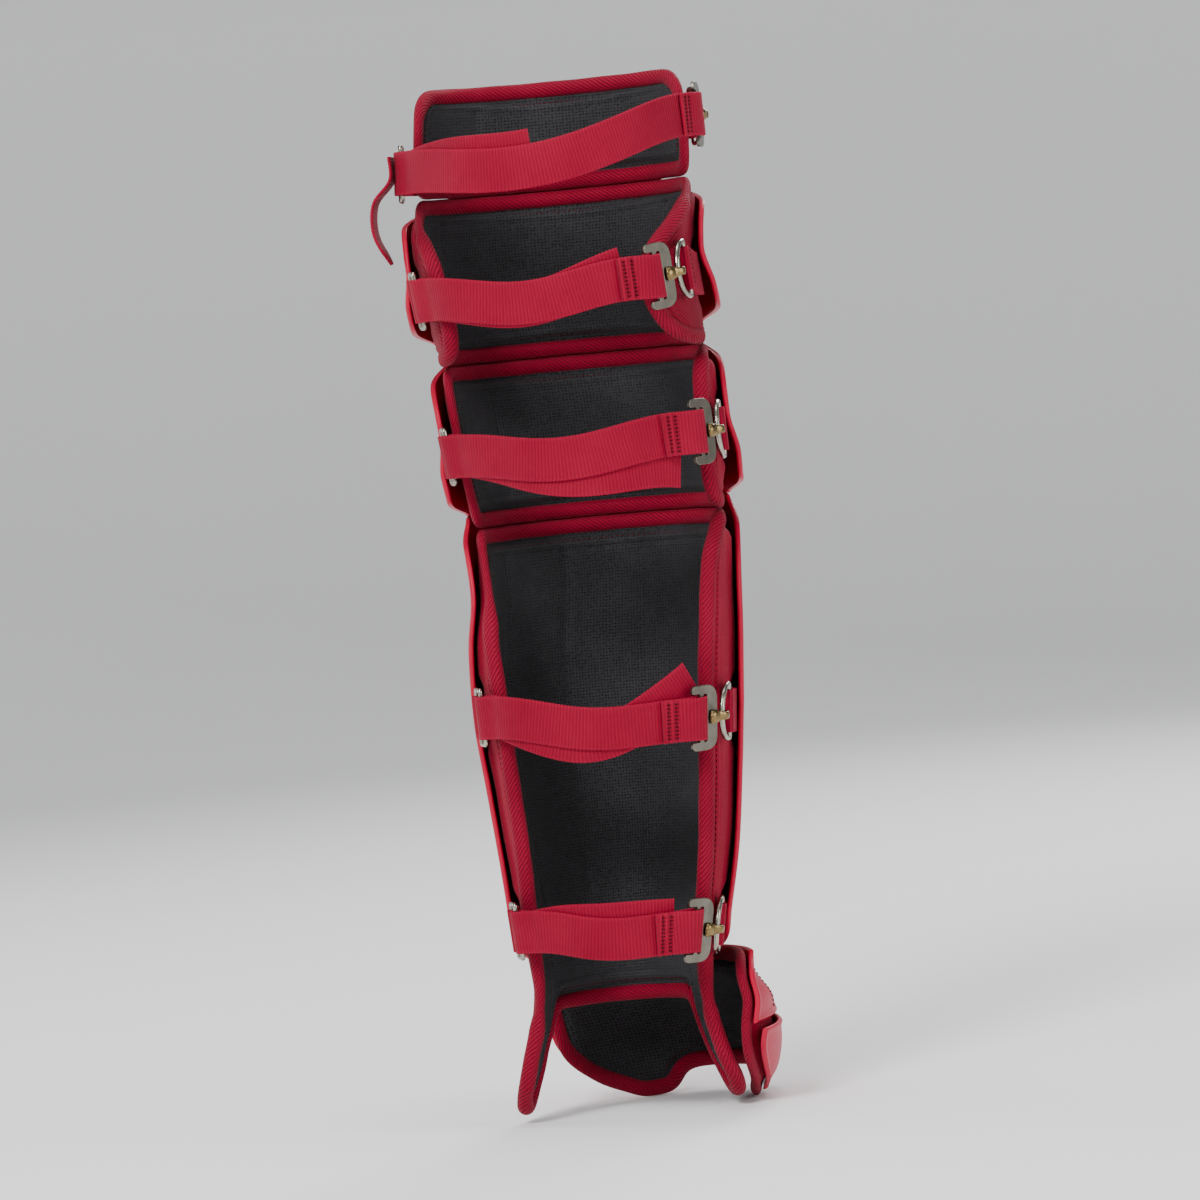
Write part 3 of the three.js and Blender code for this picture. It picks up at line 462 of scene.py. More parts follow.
def stitch_across(shape, centre, up, outward, margin, pitch, radius):
    """Row of stitches across a strap, margin in from both its edges"""
    span = np.linspace(-WEB_WIDTH / 2 + margin, WEB_WIDTH / 2 - margin, 20)[:, None]
    stitch(shape, centre + up * span, np.tile(outward, (len(span), 1)), pitch=pitch, radius=radius)


# Materials

class Graph:
    """Node material with a few short ways to add nodes"""

    def __init__(self, name, **constants):
        self.material = bpy.data.materials.new(name)
        self.material.use_nodes = True
        self.tree = self.material.node_tree
        self.shader = self.tree.nodes["Principled BSDF"]
        for socket, value in constants.items():
            self.shader.inputs[socket.replace("_", " ")].default_value = value
        coords = self.tree.nodes.new("ShaderNodeTexCoord")
        self.uv, self.place = coords.outputs["UV"], coords.outputs["Object"]
        parts = self.node("ShaderNodeSeparateXYZ", {0: self.uv})
        self.u, self.v = parts.outputs[0], parts.outputs[1]

    def node(self, kind, inputs=(), **settings):
        node = self.tree.nodes.new(kind)
        for key, value in settings.items():
            setattr(node, key, value)
        for key, value in dict(inputs).items():
            self.put(node.inputs[key], value)
        return node

    def put(self, socket, value):
        if isinstance(value, bpy.types.NodeSocket):
            self.tree.links.new(value, socket)
        else:
            socket.default_value = value

    def math(self, operation, a, b=0.0, c=0.0):
        return self.node("ShaderNodeMath", {0: a, 1: b, 2: c}, operation=operation).outputs[0]

    def times(self, a, b):
        return self.math("MULTIPLY", a, b)

    def wave(self, across, pitch):
        """Ridges of the given pitch, from 0 to 1"""
        turn = self.times(across, 2 * math.pi / pitch)
        return self.math("MULTIPLY_ADD", self.math("SINE", turn), 0.5, 0.5)

    def slanted(self, angle):
        """Distance across ridges that lie at an angle"""
        a = math.radians(angle)
        return self.math("MULTIPLY_ADD", self.u, math.cos(a), self.times(self.v, math.sin(a)))

    def noise(self, scale, detail=3.0, stretch=(1, 1, 1), roughness=0.55):
        mapped = self.node("ShaderNodeMapping", {"Vector": self.place, "Scale": stretch})
        found = self.node("ShaderNodeTexNoise", {"Vector": mapped.outputs[0], "Scale": scale,
                                                 "Detail": detail, "Roughness": roughness})
        return found.outputs["Fac"]

    def range(self, value, low, high, to_low, to_high):
        return self.node("ShaderNodeMapRange", {0: value, 1: low, 2: high, 3: to_low, 4: to_high}).outputs[0]

    def mix(self, factor, a, b):
        node = self.node("ShaderNodeMix", {0: factor}, data_type="RGBA")
        for socket, value in ((6, a), (7, b)):
            self.put(node.inputs[socket], (*value, 1) if isinstance(value, tuple) else value)
        return node.outputs[2]

    def bump(self, height, distance, strength):
        """Bump whose depth is given in millimetres"""
        inputs = {"Height": height, "Distance": distance / 1000, "Strength": strength}
        return self.node("ShaderNodeBump", inputs).outputs[0]

    def finish(self, colour, roughness, normal):
        self.put(self.shader.inputs["Base Color"], colour)
        self.put(self.shader.inputs["Roughness"], roughness)
        self.put(self.shader.inputs["Normal"], normal)
        return self.material


def plate_material():
    """Moulded plastic with fine scuffs and a worn rim"""
    g = Graph("moulded_red", Specular_IOR_Level=0.12)
    worn_red = (0.55, 0.02, 0.05)
    cloud = g.noise(9, 4)
    fine = g.noise(900, 2)
    scuffs = g.noise(210, 5, (1, 1, 5), 0.7)
    scratch = g.times(g.range(scuffs, 0.56, 0.7, 0, 1), g.range(g.noise(14, 2), 0.45, 0.6, 0, 1))
    rim = g.range(g.v, 0.2, 1.6, 1, 0)
    base = g.mix(cloud, (0.37, 0.0, 0.026), (0.44, 0.0, 0.034))
    worn = g.mix(g.times(scratch, 0.22), base, worn_red)
    rubbed = g.times(rim, g.range(g.noise(45, 5), 0.35, 0.7, 0.05, 0.6))
    colour = g.mix(rubbed, worn, worn_red)
    roughness = g.math("ADD", g.range(cloud, 0.3, 0.7, 0.3, 0.4), g.times(scratch, 0.16))
    height = g.math("MULTIPLY_ADD", scuffs, 0.5, fine)
    return g.finish(colour, roughness, g.bump(height, 0.05, 0.5))


def webbing_material(name, low, high):
    """Ribbed weave with small chevrons, paler at its edges; the colour is darker in the weave's valleys, as
    painted shade
    """
    g = Graph(name, Sheen_Weight=0.04, Sheen_Roughness=0.4, Specular_IOR_Level=0.14)
    rib = g.wave(g.u, RIB)
    yarn = g.times(g.wave(g.u, RIB / 2), g.wave(g.v, 0.9))
    chevron = g.wave(g.math("ADD", g.u, g.math("PINGPONG", g.v, 3.1)), 1.0)
    weave = g.math("ADD", g.times(rib, 0.55),
                   g.math("ADD", g.times(yarn, 0.3), g.times(chevron, 0.2)))
    cloud = g.noise(28, 4)
    fuzz = g.noise(700, 2)
    # painted shade: the weave's height picks the colour, so the valleys of the ribs, yarns and chevrons get
    # the dark colour low
    base = g.mix(weave, low, high)
    shade = g.mix(g.range(cloud, 0.3, 0.7, 0, 0.35), base, tuple(0.72 * c for c in low))
    edge = g.range(g.math("ABSOLUTE", g.v), 10.6, 12.2, 0, 0.35)
    colour = g.mix(edge, shade, high)
    height = g.math("MULTIPLY_ADD", fuzz, 0.25, weave)
    return g.finish(colour, g.range(cloud, 0.3, 0.7, 0.62, 0.78), g.bump(height, 0.32, 0.9))


def cloth_material(name, low, high, style):
    """Covers of the pads: a fine knit, a diagonal twill, or the dark spacer mesh of the lining; the colour
    is darker in the weave's valleys and in the mesh's holes, as painted shade
    """
    g = Graph(name, Sheen_Weight=0.04, Sheen_Roughness=0.4, Specular_IOR_Level=0.14)
    cloud = g.noise(22, 4)
    fuzz = g.noise(620, 2)
    if style == "twill":
        wander = g.math("MULTIPLY_ADD", g.noise(60, 2), 1.6, g.slanted(52))
        cords = g.wave(wander, TWILL)
        threads = g.wave(g.slanted(-38), 0.8)
        weave = g.math("ADD", g.times(cords, 0.75), g.times(threads, 0.25))
        depth = 0.45
    elif style == "knit":
        loops = g.times(g.wave(g.u, 1.05), g.wave(g.v, 1.4))
        weave = g.math("MULTIPLY_ADD", g.wave(g.slanted(60), 0.7), 0.25, g.times(loops, 0.75))
        depth = 0.2
    else:
        cells = g.node("ShaderNodeTexVoronoi", {"Vector": g.uv, "Scale": 0.55, "Randomness": 0.25})
        weave = g.range(cells.outputs["Distance"], 0.12, 0.4, 0, 1)
        depth = 0.5
    # painted shade: the weave's height picks the colour, so the valleys of the knit and twill and the holes
    # of the mesh get the dark colour low
    base = g.mix(weave, low, high)
    colour = g.mix(g.range(cloud, 0.3, 0.72, 0, 0.4), base, tuple(0.7 * c for c in low))
    height = g.math("MULTIPLY_ADD", fuzz, 0.22, weave)
    return g.finish(colour, g.range(cloud, 0.3, 0.7, 0.68, 0.84), g.bump(height, depth, 0.9))


def metal_material(name, low, high, rough):
    """Satin plating with fine brush marks and patches of tarnish"""
    g = Graph(name, Metallic=1.0)
    cloud = g.noise(160, 5)
    brushed = g.noise(420, 4, (1, 1, 9), 0.65)
    tarnish = g.range(g.noise(75, 6), 0.48, 0.72, 0, 1)
    colour = g.mix(g.times(tarnish, 0.5), g.mix(cloud, low, high), tuple(0.5 * c for c in low))
    roughness = g.math("ADD", g.range(brushed, 0.3, 0.7, rough, rough + 0.14),
                       g.times(tarnish, 0.12))
    return g.finish(colour, roughness, g.bump(brushed, 0.03, 0.5))


PLATE_RED = plate_material()
# In each pair, low is the colour painted into the weave's valleys as shade and high the colour on its tops
WEBBING_RED = webbing_material("webbing_red", (0.19, 0.0, 0.014), (0.36, 0.0, 0.03))
KNIT_RED = cloth_material("knit_red", (0.24, 0.0, 0.018), (0.34, 0.0, 0.027), "knit")
TWILL_RED = cloth_material("twill_red", (0.12, 0.0, 0.009), (0.36, 0.0, 0.03), "twill")
LINING = cloth_material("lining_dark", (0.006, 0.006, 0.007), (0.035, 0.034, 0.037), "mesh")
# Red thread, made much darker than the cloth: partly its own colour, partly painted shade standing in for
# the shadow in the sewn grooves and seams
THREAD = cloth_material("thread_red", (0.045, 0.0, 0.003), (0.1, 0.0, 0.007), "knit")
NICKEL = metal_material("nickel", (0.12, 0.11, 0.09), (0.22, 0.203, 0.168), 0.26)
RING_METAL = metal_material("ring_nickel", (0.28, 0.262, 0.215), (0.46, 0.432, 0.36), 0.13)
BRASS = metal_material("brass", (0.12, 0.083, 0.036), (0.32, 0.225, 0.095), 0.18)


# Pads

def cosine(count):
    return (1 - np.cos(np.pi * np.linspace(0, 1, count + 1))) / 2


def leg_params(wraps, low, high):
    """(u, v, inset) to angle and height on a pad, inset in millimetres from its border"""
    def params(u, v, inset):
        u, v = arrays(u, v)
        bottom, top = low(u), high(u)
        height = bottom + inset + v * (top - bottom - 2 * inset)
        share = np.clip((height - low(1.0)) / (high(1.0) - low(1.0)), 0, 1)
        reach = np.where(u > 0, read(wraps, "inner", share), read(wraps, "outer", share))
        return u * (reach - inset / PER_DEGREE), height
    return params


def leg_bulge(angle, height):
    bare = np.maximum(smooth(np.abs(angle), PLATE_REACH - 2, PLATE_REACH + 9),
                      smooth(-height, SHIN_DOWN, SHIN_DOWN + 26))
    return np.maximum(ROLL - pad_outside(angle), 0) / 2 * bare


PAD_SPANS = {
    "shin_pad": (-REACH_DOWN, SHIN_UP), "lower_knee_pad": (LOWER_KNEE_LOW, LOWER_KNEE_TOP),
    "knee_pad": (KNEE_LOW, KNEE_TOP), "thigh_pad": (THIGH_LOW, THIGH_TOP),
}


def foam_rise(pad):
    """Foam that fills out under a plate's side, between the tabs of the pad's straps"""
    low, high = PAD_SPANS[pad]
    tabs = []
    for strap in STRAPS:
        if strap.pad == pad:
            level = mix(low, high, strap.level)
            tabs += [(1, level), (-1, level + strap.lift * WEB_WIDTH)]

    plate_low = max(low, -SHIN_DOWN)

    def rise(angle, height):
        under = smooth(np.abs(angle), 42, 72) * (1 - smooth(np.abs(angle), 92, 100))
        under = under * smooth(height, plate_low + 12, plate_low + 30)
        for side, at in tabs:
            beside = np.where(angle * side > 0, smooth(np.abs(height - at), 15, 24), 1)
            under = under * beside
        return SWELL * under
    return rise


def border(params, inset, steps=60):
    t = np.linspace(0, 1, steps, endpoint=False)
    one, zero = np.ones(steps), np.zeros(steps)
    u = np.concatenate([2 * t - 1, one, 1 - 2 * t, -one])
    v = np.concatenate([zero, t, one, 1 - t])
    return np.stack(params(u, v, inset), -1)


def ring_of(params, surface, inset, level, step, blur):
    """Closed run inside a pad's border: points, sides, outward normals, angles, heights and step"""
    run = border(params, inset)
    at, step = even_ring(run, surface(run[:, 0], run[:, 1], 0), step)
    at = smooth_ring(at, blur / step)
    a, h = at[:, 0], at[:, 1]
    middle = level(a, h)
    points = surface(a, h, middle)
    across = unit(surface(a, h, middle + 1) - surface(a, h, middle - 1))
    ahead = ring_ahead(points)
    side = unit(np.cross(ahead, across))
    normal = np.cross(side, ahead)
    return points, side, normal, a, h, step


def seam_fullness(near):
    """Share of a pad's thickness at a distance from its border, thinned towards the seam"""
    return SEAM_SHARE + (1 - SEAM_SHARE) * smooth(near, SEAM - 0.9, SEAM + 5)


def make_pad(name, params, surface, body, bulge, columns, rows, cover, channels=(), fill=0.7, rise=None):
    """Stuffed pad with a seam inside its border, a bound edge and rows of stitches on both faces"""
    uu, vv = np.meshgrid(2 * cosine(columns) - 1, cosine(rows))
    a, h = params(uu, vv, PAD_INSET)
    thick = body(a)
    sheet = surface(a, h, thick / 2)
    near = PAD_INSET + sheet_lengths(sheet)[1]
    fullness = seam_fullness(near)
    fullness *= 1 - 0.16 * np.exp(-((near - PRESSED_LINE) / 0.9) ** 2)
    wave = 0.35 * uneven(sheet[..., 0], sheet[..., 1], sheet[..., 2]) * smooth(near, SEAM, SEAM + 12)
    groove = sum((np.exp(-((a - c) / CHANNEL_WIDTH) ** 2) for c in channels), np.zeros_like(a))
    groove = groove * smooth(near, SEAM + 2, SEAM + 10)
    shape = Shape()
    uv = np.stack([(a - a.mean()) * PER_DEGREE, h], -1)
    raised = 0 if rise is None else rise(a, h) * smooth(near, SEAM + 1, SEAM + 9)
    outer = surface(a, h, thick * (0.5 + 0.5 * fullness) + np.minimum(wave, 0.2) + raised)
    inner = surface(a, h, thick * (0.5 - 0.5 * fullness) + np.maximum(wave, 0) + CHANNEL_DEPTH * groove)
    shape.grid(outer, uv)
    shape.grid(inner[:, ::-1], uv[:, ::-1], kind=1)
    piece(name, shape, [cover, LINING], [name])

    def level(angle, height):
        return body(angle) / 2

    points, side, normal, ra, rh, step = ring_of(params, surface, BINDING, level, 1.2, 4.5)
    half = np.minimum(BINDING, body(ra) / 2 + bulge(ra, rh))
    roll = Shape()
    profile = circle(BINDING, BINDING_SIDES)
    ripple = 1 + 0.02 * np.sin(np.arange(len(points)) * step * 0.21)
    tube = around(points, side, normal, profile[:, 0] * ripple[:, None],
                  profile[:, 1] * (half * ripple / BINDING)[:, None])
    u = np.arange(len(points) + 1) * step
    v = np.linspace(0, 2 * np.pi * BINDING, BINDING_SIDES + 1)
    roll.grid(tube, fit_uv(u, v), close_rows=True, close_columns=True)
    piece(f"{name}_binding", roll, [TWILL_RED])

    seams = Shape()
    for sign in (1, -1):
        def seam_level(angle, height, sign=sign):
            return body(angle) * (0.5 + sign * 0.5 * seam_fullness(SEAM_STITCHES))
        run, _, out, *_ = ring_of(params, surface, SEAM_STITCHES, seam_level, 1.0, 3.5)
        stitch(seams, run, out * sign, ring=True)
    piece(f"{name}_stitches", seams, [THREAD])


def flat(height):
    """Level edge of a pad or plate"""
    return lambda u: np.full_like(np.asarray(u, float), height)


def shin_low(u):
    """Lower edge of the shin pad: two ankle wings with the instep's arch between them"""
    x = np.abs(u)
    wing = smooth(x, 0.5, 0.78)
    tip = 0.2 * smooth(x, 0.86, 1)
    return -REACH_DOWN + INSTEP_ARCH * (1 - wing) + ANKLE_WING * tip


for pad_name, grid_size, low_edge, cover, channels in [
    ("shin_pad", (136, 176), shin_low, KNIT_RED, (-58, -20, 20, 58)),
    ("lower_knee_pad", (136, 62), flat(LOWER_KNEE_LOW), KNIT_RED, (-45, 45)),
    ("knee_pad", (152, 66), flat(KNEE_LOW), TWILL_RED, (-60, 60)),
    ("thigh_pad", (116, 46), flat(THIGH_LOW), KNIT_RED, (-35, 35)),
]:
    make_pad(pad_name, leg_params(WRAPS[pad_name], low_edge, flat(PAD_SPANS[pad_name][1])), on_leg,
             pad_outside, leg_bulge, *grid_size, cover, channels,
             rise=None if pad_name == "thigh_pad" else foam_rise(pad_name))


def toe_arch(u):
    return 1 - 0.14 * (1 - smooth(np.abs(u), 0.35, 0.75))


def toe_params(column, start, end):
    """(u, v, inset) to angle and height on the toe guard"""
    def params(u, v, inset):
        u, v = arrays(u, v)
        top, bottom = -start(u) * TOE_HEIGHT - inset, -end(u) * TOE_HEIGHT + inset
        height = bottom + v * (top - bottom)
        reach = read(TOE_FORM, column, -height / TOE_HEIGHT)
        return u * (reach - inset / TOE_PER_DEGREE), height
    return params


make_pad("toe_pad", toe_params("pad", flat(0), toe_arch), on_toe,
         lambda angle: np.full_like(angle, TOE_PAD), lambda angle, height: np.zeros_like(angle),
         116, 62, KNIT_RED, (), 0.6)


# Plates

def make_plate(name, us, vs, place, level, rim=2.4):
    """Moulded plate with rounded edges and a slight bead along its rim"""
    uu, vv = np.meshgrid(us, vs)
    a, h, inside = level(uu, vv)
    du, near = sheet_lengths(place(a, h, inside))
    half = PLATE / 2
    roundness = half * np.sqrt(np.clip(1 - (1 - np.minimum(near / half, 1)) ** 2, 0, 1))
    bead = 0.5 * np.exp(-((near - rim) / 1.3) ** 2) - 0.35 * smooth(near, rim + 2.5, rim + 4)
    outer = inside + half + roundness + bead * smooth(near, 0.2, 1.4)
    inner = inside + half - roundness
    shape = Shape()
    uv = np.stack([du, near], -1)
    shape.grid(place(a, h, outer), uv)
    shape.grid(place(a, h, inner)[:, ::-1], uv[:, ::-1])
    piece(name, shape, [PLATE_RED], [name])


def rounded(height, fall):
    """Edge that rises or falls towards a plate's sides"""
    return lambda u: height + fall * u * u


def leg_plate(name, low, high, ridge=0.0, crown=0.0, lap=0.0, columns=112, rows=84):
    wraps = WRAPS[name]

    def level(u, v):
        height = mix(low(u), high(u), v)
        angle = u * np.where(u > 0, read(wraps, "inner", v), read(wraps, "outer", v))
        start = low(0.0)
        lifted = 1 - smooth(height, start + PLATE_LAP * 1.3, start + PLATE_LAP * 2.4)
        over = lap * (PLATE + PLATE_GAP) * lifted + LIP * (1 - smooth(v, 0, 0.14))
        keel = ridge * smooth(v, 0.1, 0.3) * (1 - smooth(v, 0.75, 0.88)) * np.exp(-((angle / 13) ** 2))
        dome = crown * np.sin(np.pi * v) * np.cos(np.radians(angle * 0.9)) ** 2
        return angle, height, plate_inside(angle) + over + keel + dome
    make_plate(name, 2 * cosine(columns) - 1, cosine(rows), on_leg, level)


knee_plate_low = KNEE_LOW + PLATE_LAP * 0.2
lower_knee_plate_low = LOWER_KNEE_LOW + PLATE_LAP * 0.1
knee_plate_top = KNEE_TOP + PLATE_LAP * 0.45
leg_plate("shin_plate", rounded(-SHIN_DOWN, 4),
          rounded(lower_knee_plate_low + PLATE_LAP, -PLATE_LAP * 0.8), ridge=KEEL, rows=150)
leg_plate("lower_knee_plate", rounded(lower_knee_plate_low, 5),
          rounded(knee_plate_low + PLATE_LAP, -PLATE_LAP), crown=LOWER_KNEE_CROWN, lap=1)
leg_plate("knee_plate", rounded(knee_plate_low, 8), rounded(knee_plate_top, -PLATE_LAP * 0.6),
          crown=KNEE_CROWN, lap=1)
leg_plate("thigh_plate", rounded(knee_plate_top + 1, 0), rounded(THIGH_TOP - 2, -10), rows=54)

TOE_PLATE_INSIDE = TOE_PAD + PLATE_GAP + CLEARANCE
toe_split_low = TOE_SPLIT + TOE_GAP / TOE_HEIGHT


def toe_plate(name, start, end, flap):
    params = toe_params("plate", start, end)

    def level(u, v):
        angle, height = params(u, v, 0)
        return angle, height, TOE_PLATE_INSIDE + flap * smooth(-u, 0.4, 1) * v**2
    make_plate(name, 2 * cosine(104) - 1, cosine(52), on_toe, level, rim=2.0)


toe_plate("toe_plate_upper", flat(0.01), flat(TOE_SPLIT), 0.0)
toe_plate("toe_plate_lower", flat(toe_split_low), lambda u: toe_arch(u) - 0.03, TOE_FLAP)

toe_seams = Shape()
seam_height = -TOE_HEIGHT * np.linspace(0.07, TOE_SPLIT - 0.05, 60)
seam_level = TOE_PLATE_INSIDE + PLATE - 0.3
for seam_angle in (-56, -40, 40, 56):
    lean = seam_angle * (0.8 + 0.2 * np.linspace(0, 1, 60) ** 0.5)
    seam_line = on_toe(lean, seam_height, seam_level)
    seam_out = unit(on_toe(lean, seam_height, seam_level + 1) - seam_line)
    stitch(toe_seams, seam_line, seam_out, pitch=2.8, radius=0.4)
piece("toe_plate_upper_stitches", toe_seams, [THREAD])


# Straps and hardware

LOOP_HALF = WEB_WIDTH / 2 + LOOP_MARGIN
RUN_SEAT = (ROLL + PAD_SIDE) / 2 + 2 * CLEARANCE + WEB / 2
HOOK_TURN = math.hypot(HOOK_BAR, HOOK_PLATE) / 2 + CLEARANCE + WEB / 2
SLIDER_TURN = SLIDER_WIRE / 2 + 2 * CLEARANCE + WEB / 2
LAYER_PITCH = WEB + 2 * CLEARANCE
SLOT_FAR = HOOK_WEB + HOOK_TURN + WEB / 2 + CLEARANCE - HOOK_BAR / 2
HOOK_BAR_AT = SLOT_FAR + HOOK_BAR / 2
CLAW_TURN = RING_WIRE / 2 + 3 * CLEARANCE + CLAW / 2
CLAW_AHEAD = CLAW_TURN + CLAW / 2 + CLEARANCE


def filleted(corners):
    """Closed outline with rounded corners from rows of x, y and radius"""
    corners = np.asarray(corners, float)
    out = []
    for i, (x, y, radius) in enumerate(corners):
        here = np.array([x, y])
        before, after = corners[i - 1][:2] - here, corners[(i + 1) % len(corners)][:2] - here
        a, b = unit(before), unit(after)
        for t in np.linspace(0, 1, 9):
            out.append(here + radius * (a * (1 - t) ** 2 + b * t**2))
    return out


def hook_plate(name, place):
    """Flat hook with a strap slot and an open mouth behind it"""
    half, mouth = HOOK_HEIGHT / 2, SLOT_FAR + HOOK_BAR
    tip, inner = mouth + HOOK_REACH, HOOK_HEIGHT / 2 - HOOK_ARM
    outlines = [
        filleted([(0, -half, 9), (tip, -half, 3.4), (tip, -inner, 1.6), (mouth, -inner, 0.8),
                  (mouth, inner, 0.8), (tip, inner, 1.6), (tip, half, 3.4), (0, half, 9)]),
        filleted([(HOOK_WEB, -inner, 1.2), (HOOK_WEB, inner, 1.2), (SLOT_FAR, inner, 0.5),
                  (SLOT_FAR, -inner, 0.5)]),
    ]
    curve = bpy.data.curves.new(name, "CURVE")
    curve.dimensions, curve.fill_mode = "2D", "BOTH"
    curve.extrude = (HOOK_PLATE / 2 - HOOK_BEVEL) / 1000
    curve.bevel_depth, curve.bevel_resolution, curve.offset = HOOK_BEVEL / 1000, 3, -HOOK_BEVEL / 1000
    for outline in outlines:
        line = curve.splines.new("POLY")
        line.points.add(len(outline) - 1)
        for point, (x, y) in zip(line.points, outline):
            point.co = (x / 1000, y / 1000, 0, 1)
        line.use_cyclic_u = True
    maker = put(name, curve)
    mesh = bpy.data.meshes.new_from_object(maker.evaluated_get(bpy.context.evaluated_depsgraph_get()))
    bpy.data.objects.remove(maker)
    bpy.data.curves.remove(curve)
    facing = np.cross(place.back, place.up)
    centre = (place.point + [0, LEG_DEPTH, 0]) / 1000
    basis = Matrix([[*row, c] for row, c in zip(np.stack([place.back, place.up, facing], 1), centre)]
                   + [[0, 0, 0, 1]])
    mesh.transform(basis)
    mesh.polygons.foreach_set("use_smooth", np.zeros(len(mesh.polygons), bool))
    mesh.name = name
    mesh.materials.clear()
    add_piece(name, mesh, [NICKEL], [name])


def claw(name, place):
    """Curled claw with a round rivet on the hook plate"""
    seat = HOOK_PLATE / 2 + CLEARANCE + CLAW / 2
    bow = along(place, -CLAW_AHEAD)
    path = [along(place, d, seat) for d in (HOOK_WEB - 1.2, HOOK_WEB / 2, 0)]
    for a in np.radians(CLAW_BEND):
        path.append(bow - place.back * CLAW_TURN * math.cos(a)
                    + place.outward * CLAW_TURN * math.sin(a))
    line, s = spline(path, 0.4)
    ahead = unit(np.gradient(line, axis=0))
    side = square_to(ahead, np.tile(place.up, (len(line), 1)))
    normal = np.cross(ahead, side)
    share = s / s[-1]
    width = CLAW_WIDTH / 2 * (1 - 0.42 * smooth(share, 0.15, 0.5) + 0.1 * smooth(share, 0.85, 1))
    thick = CLAW / 2 * (1 + 0.2 * smooth(share, 0.2, 0.5))
    tip = 1 - np.maximum(share - 0.93, 0) ** 2 / 0.005
    root = 1 - np.maximum(0.06 - share, 0) ** 2 / 0.0037
    close = np.sqrt(np.clip(tip, 0.02, 1)) * np.sqrt(np.clip(root, 0.02, 1))
    profile = circle(1, 20)
    profile = np.sign(profile) * np.abs(profile) ** 0.75
    points = around(line, side, normal, profile[:, 0] * (width * close)[:, None],
                    profile[:, 1] * (thick * close)[:, None])
    shape = Shape()
    shape.grid(points, fit_uv(s, np.linspace(0, 20, len(profile) + 1)), close_columns=True)
    centre = along(place, HOOK_WEB / 2 - 0.6, seat + CLAW / 2 - 0.4)
    t = np.linspace(0.02, 1, 9)
    radius, lift = RIVET_RADIUS * np.sin(t * np.pi / 2), RIVET_RISE * np.cos(t * np.pi / 2)
    ring = circle(1, 24)
    dome = (centre + place.outward * lift[:, None, None]
            + place.back * (radius[:, None, None] * ring[None, :, :1])
            + place.up * (radius[:, None, None] * ring[None, :, 1:]))
    shape.grid(dome, fit_uv(t * 3, np.linspace(0, 18, len(ring) + 1)), close_columns=True)
    piece(f"{name}_claw", shape, [BRASS], [f"{name}_claw"])
    return bow


def d_outline():
    """D-ring's outline with its straight side at 0"""
    outline = [(0.0, y) for y in np.linspace(-LOOP_HALF, LOOP_HALF, 30)]
    for a in np.radians(np.linspace(86, -86, 44)):
        outline.append((RING_DEPTH * math.cos(a) ** 0.8, LOOP_HALF * math.sin(a)))
    return outline


def box_outline(depth):
    y = np.linspace(-LOOP_HALF, LOOP_HALF, 30)
    x = np.linspace(0, depth, 12)[1:-1]
    return ([(0, v) for v in y] + [(v, LOOP_HALF) for v in x] + [(depth, -v) for v in y]
            + [(depth - v, -LOOP_HALF) for v in x])


def half_turn(bar, towards, outward, radius, steps=14):
    """Points of a fold round a bar"""
    angles = np.linspace(-np.pi / 2, np.pi / 2, steps)[:, None]
    return list(bar + towards * radius * np.cos(angles) + outward * radius * np.sin(angles))


def tab(name, bar, side, height, wire, end_angle, up):
    """Webbing folded round a ring's or slider's bar; gives the stitches that close it"""
    radius, gap = wire / 2 + 1.5 * CLEARANCE + TAB_WEB / 2, TAB_WEB + 2 * CLEARANCE

    def layer(lift):
        angles = np.arange(end_angle - TAB_ARC, end_angle - 4, 5)
        level = pad_outside(angles) + 3 * CLEARANCE + TAB_WEB / 2 + lift
        return list(on_leg(side * angles, height, level))
    lower = layer(0)
    direction = square_to(up, bar - lower[-1])
    outward = -side * np.cross(up, direction)
    neck = bar - direction * radius * 2
    path = (lower + [neck - outward * gap / 2] + half_turn(bar, direction, outward, radius)
            + [neck + outward * gap / 2] + layer(gap)[::-1])
    shape = Shape()
    webbing(shape, path, [up] * len(path), WEB_WIDTH, TAB_WEB)
    piece(name, shape, [WEBBING_RED], [name])
    rows = Shape()
    for back in (1.5, 4.2):
        centre = neck - direction * back + outward * (gap / 2 + TAB_WEB / 2 + 0.08)
        stitch_across(rows, centre, up, outward, 2, 2.4, 0.3)
    return rows


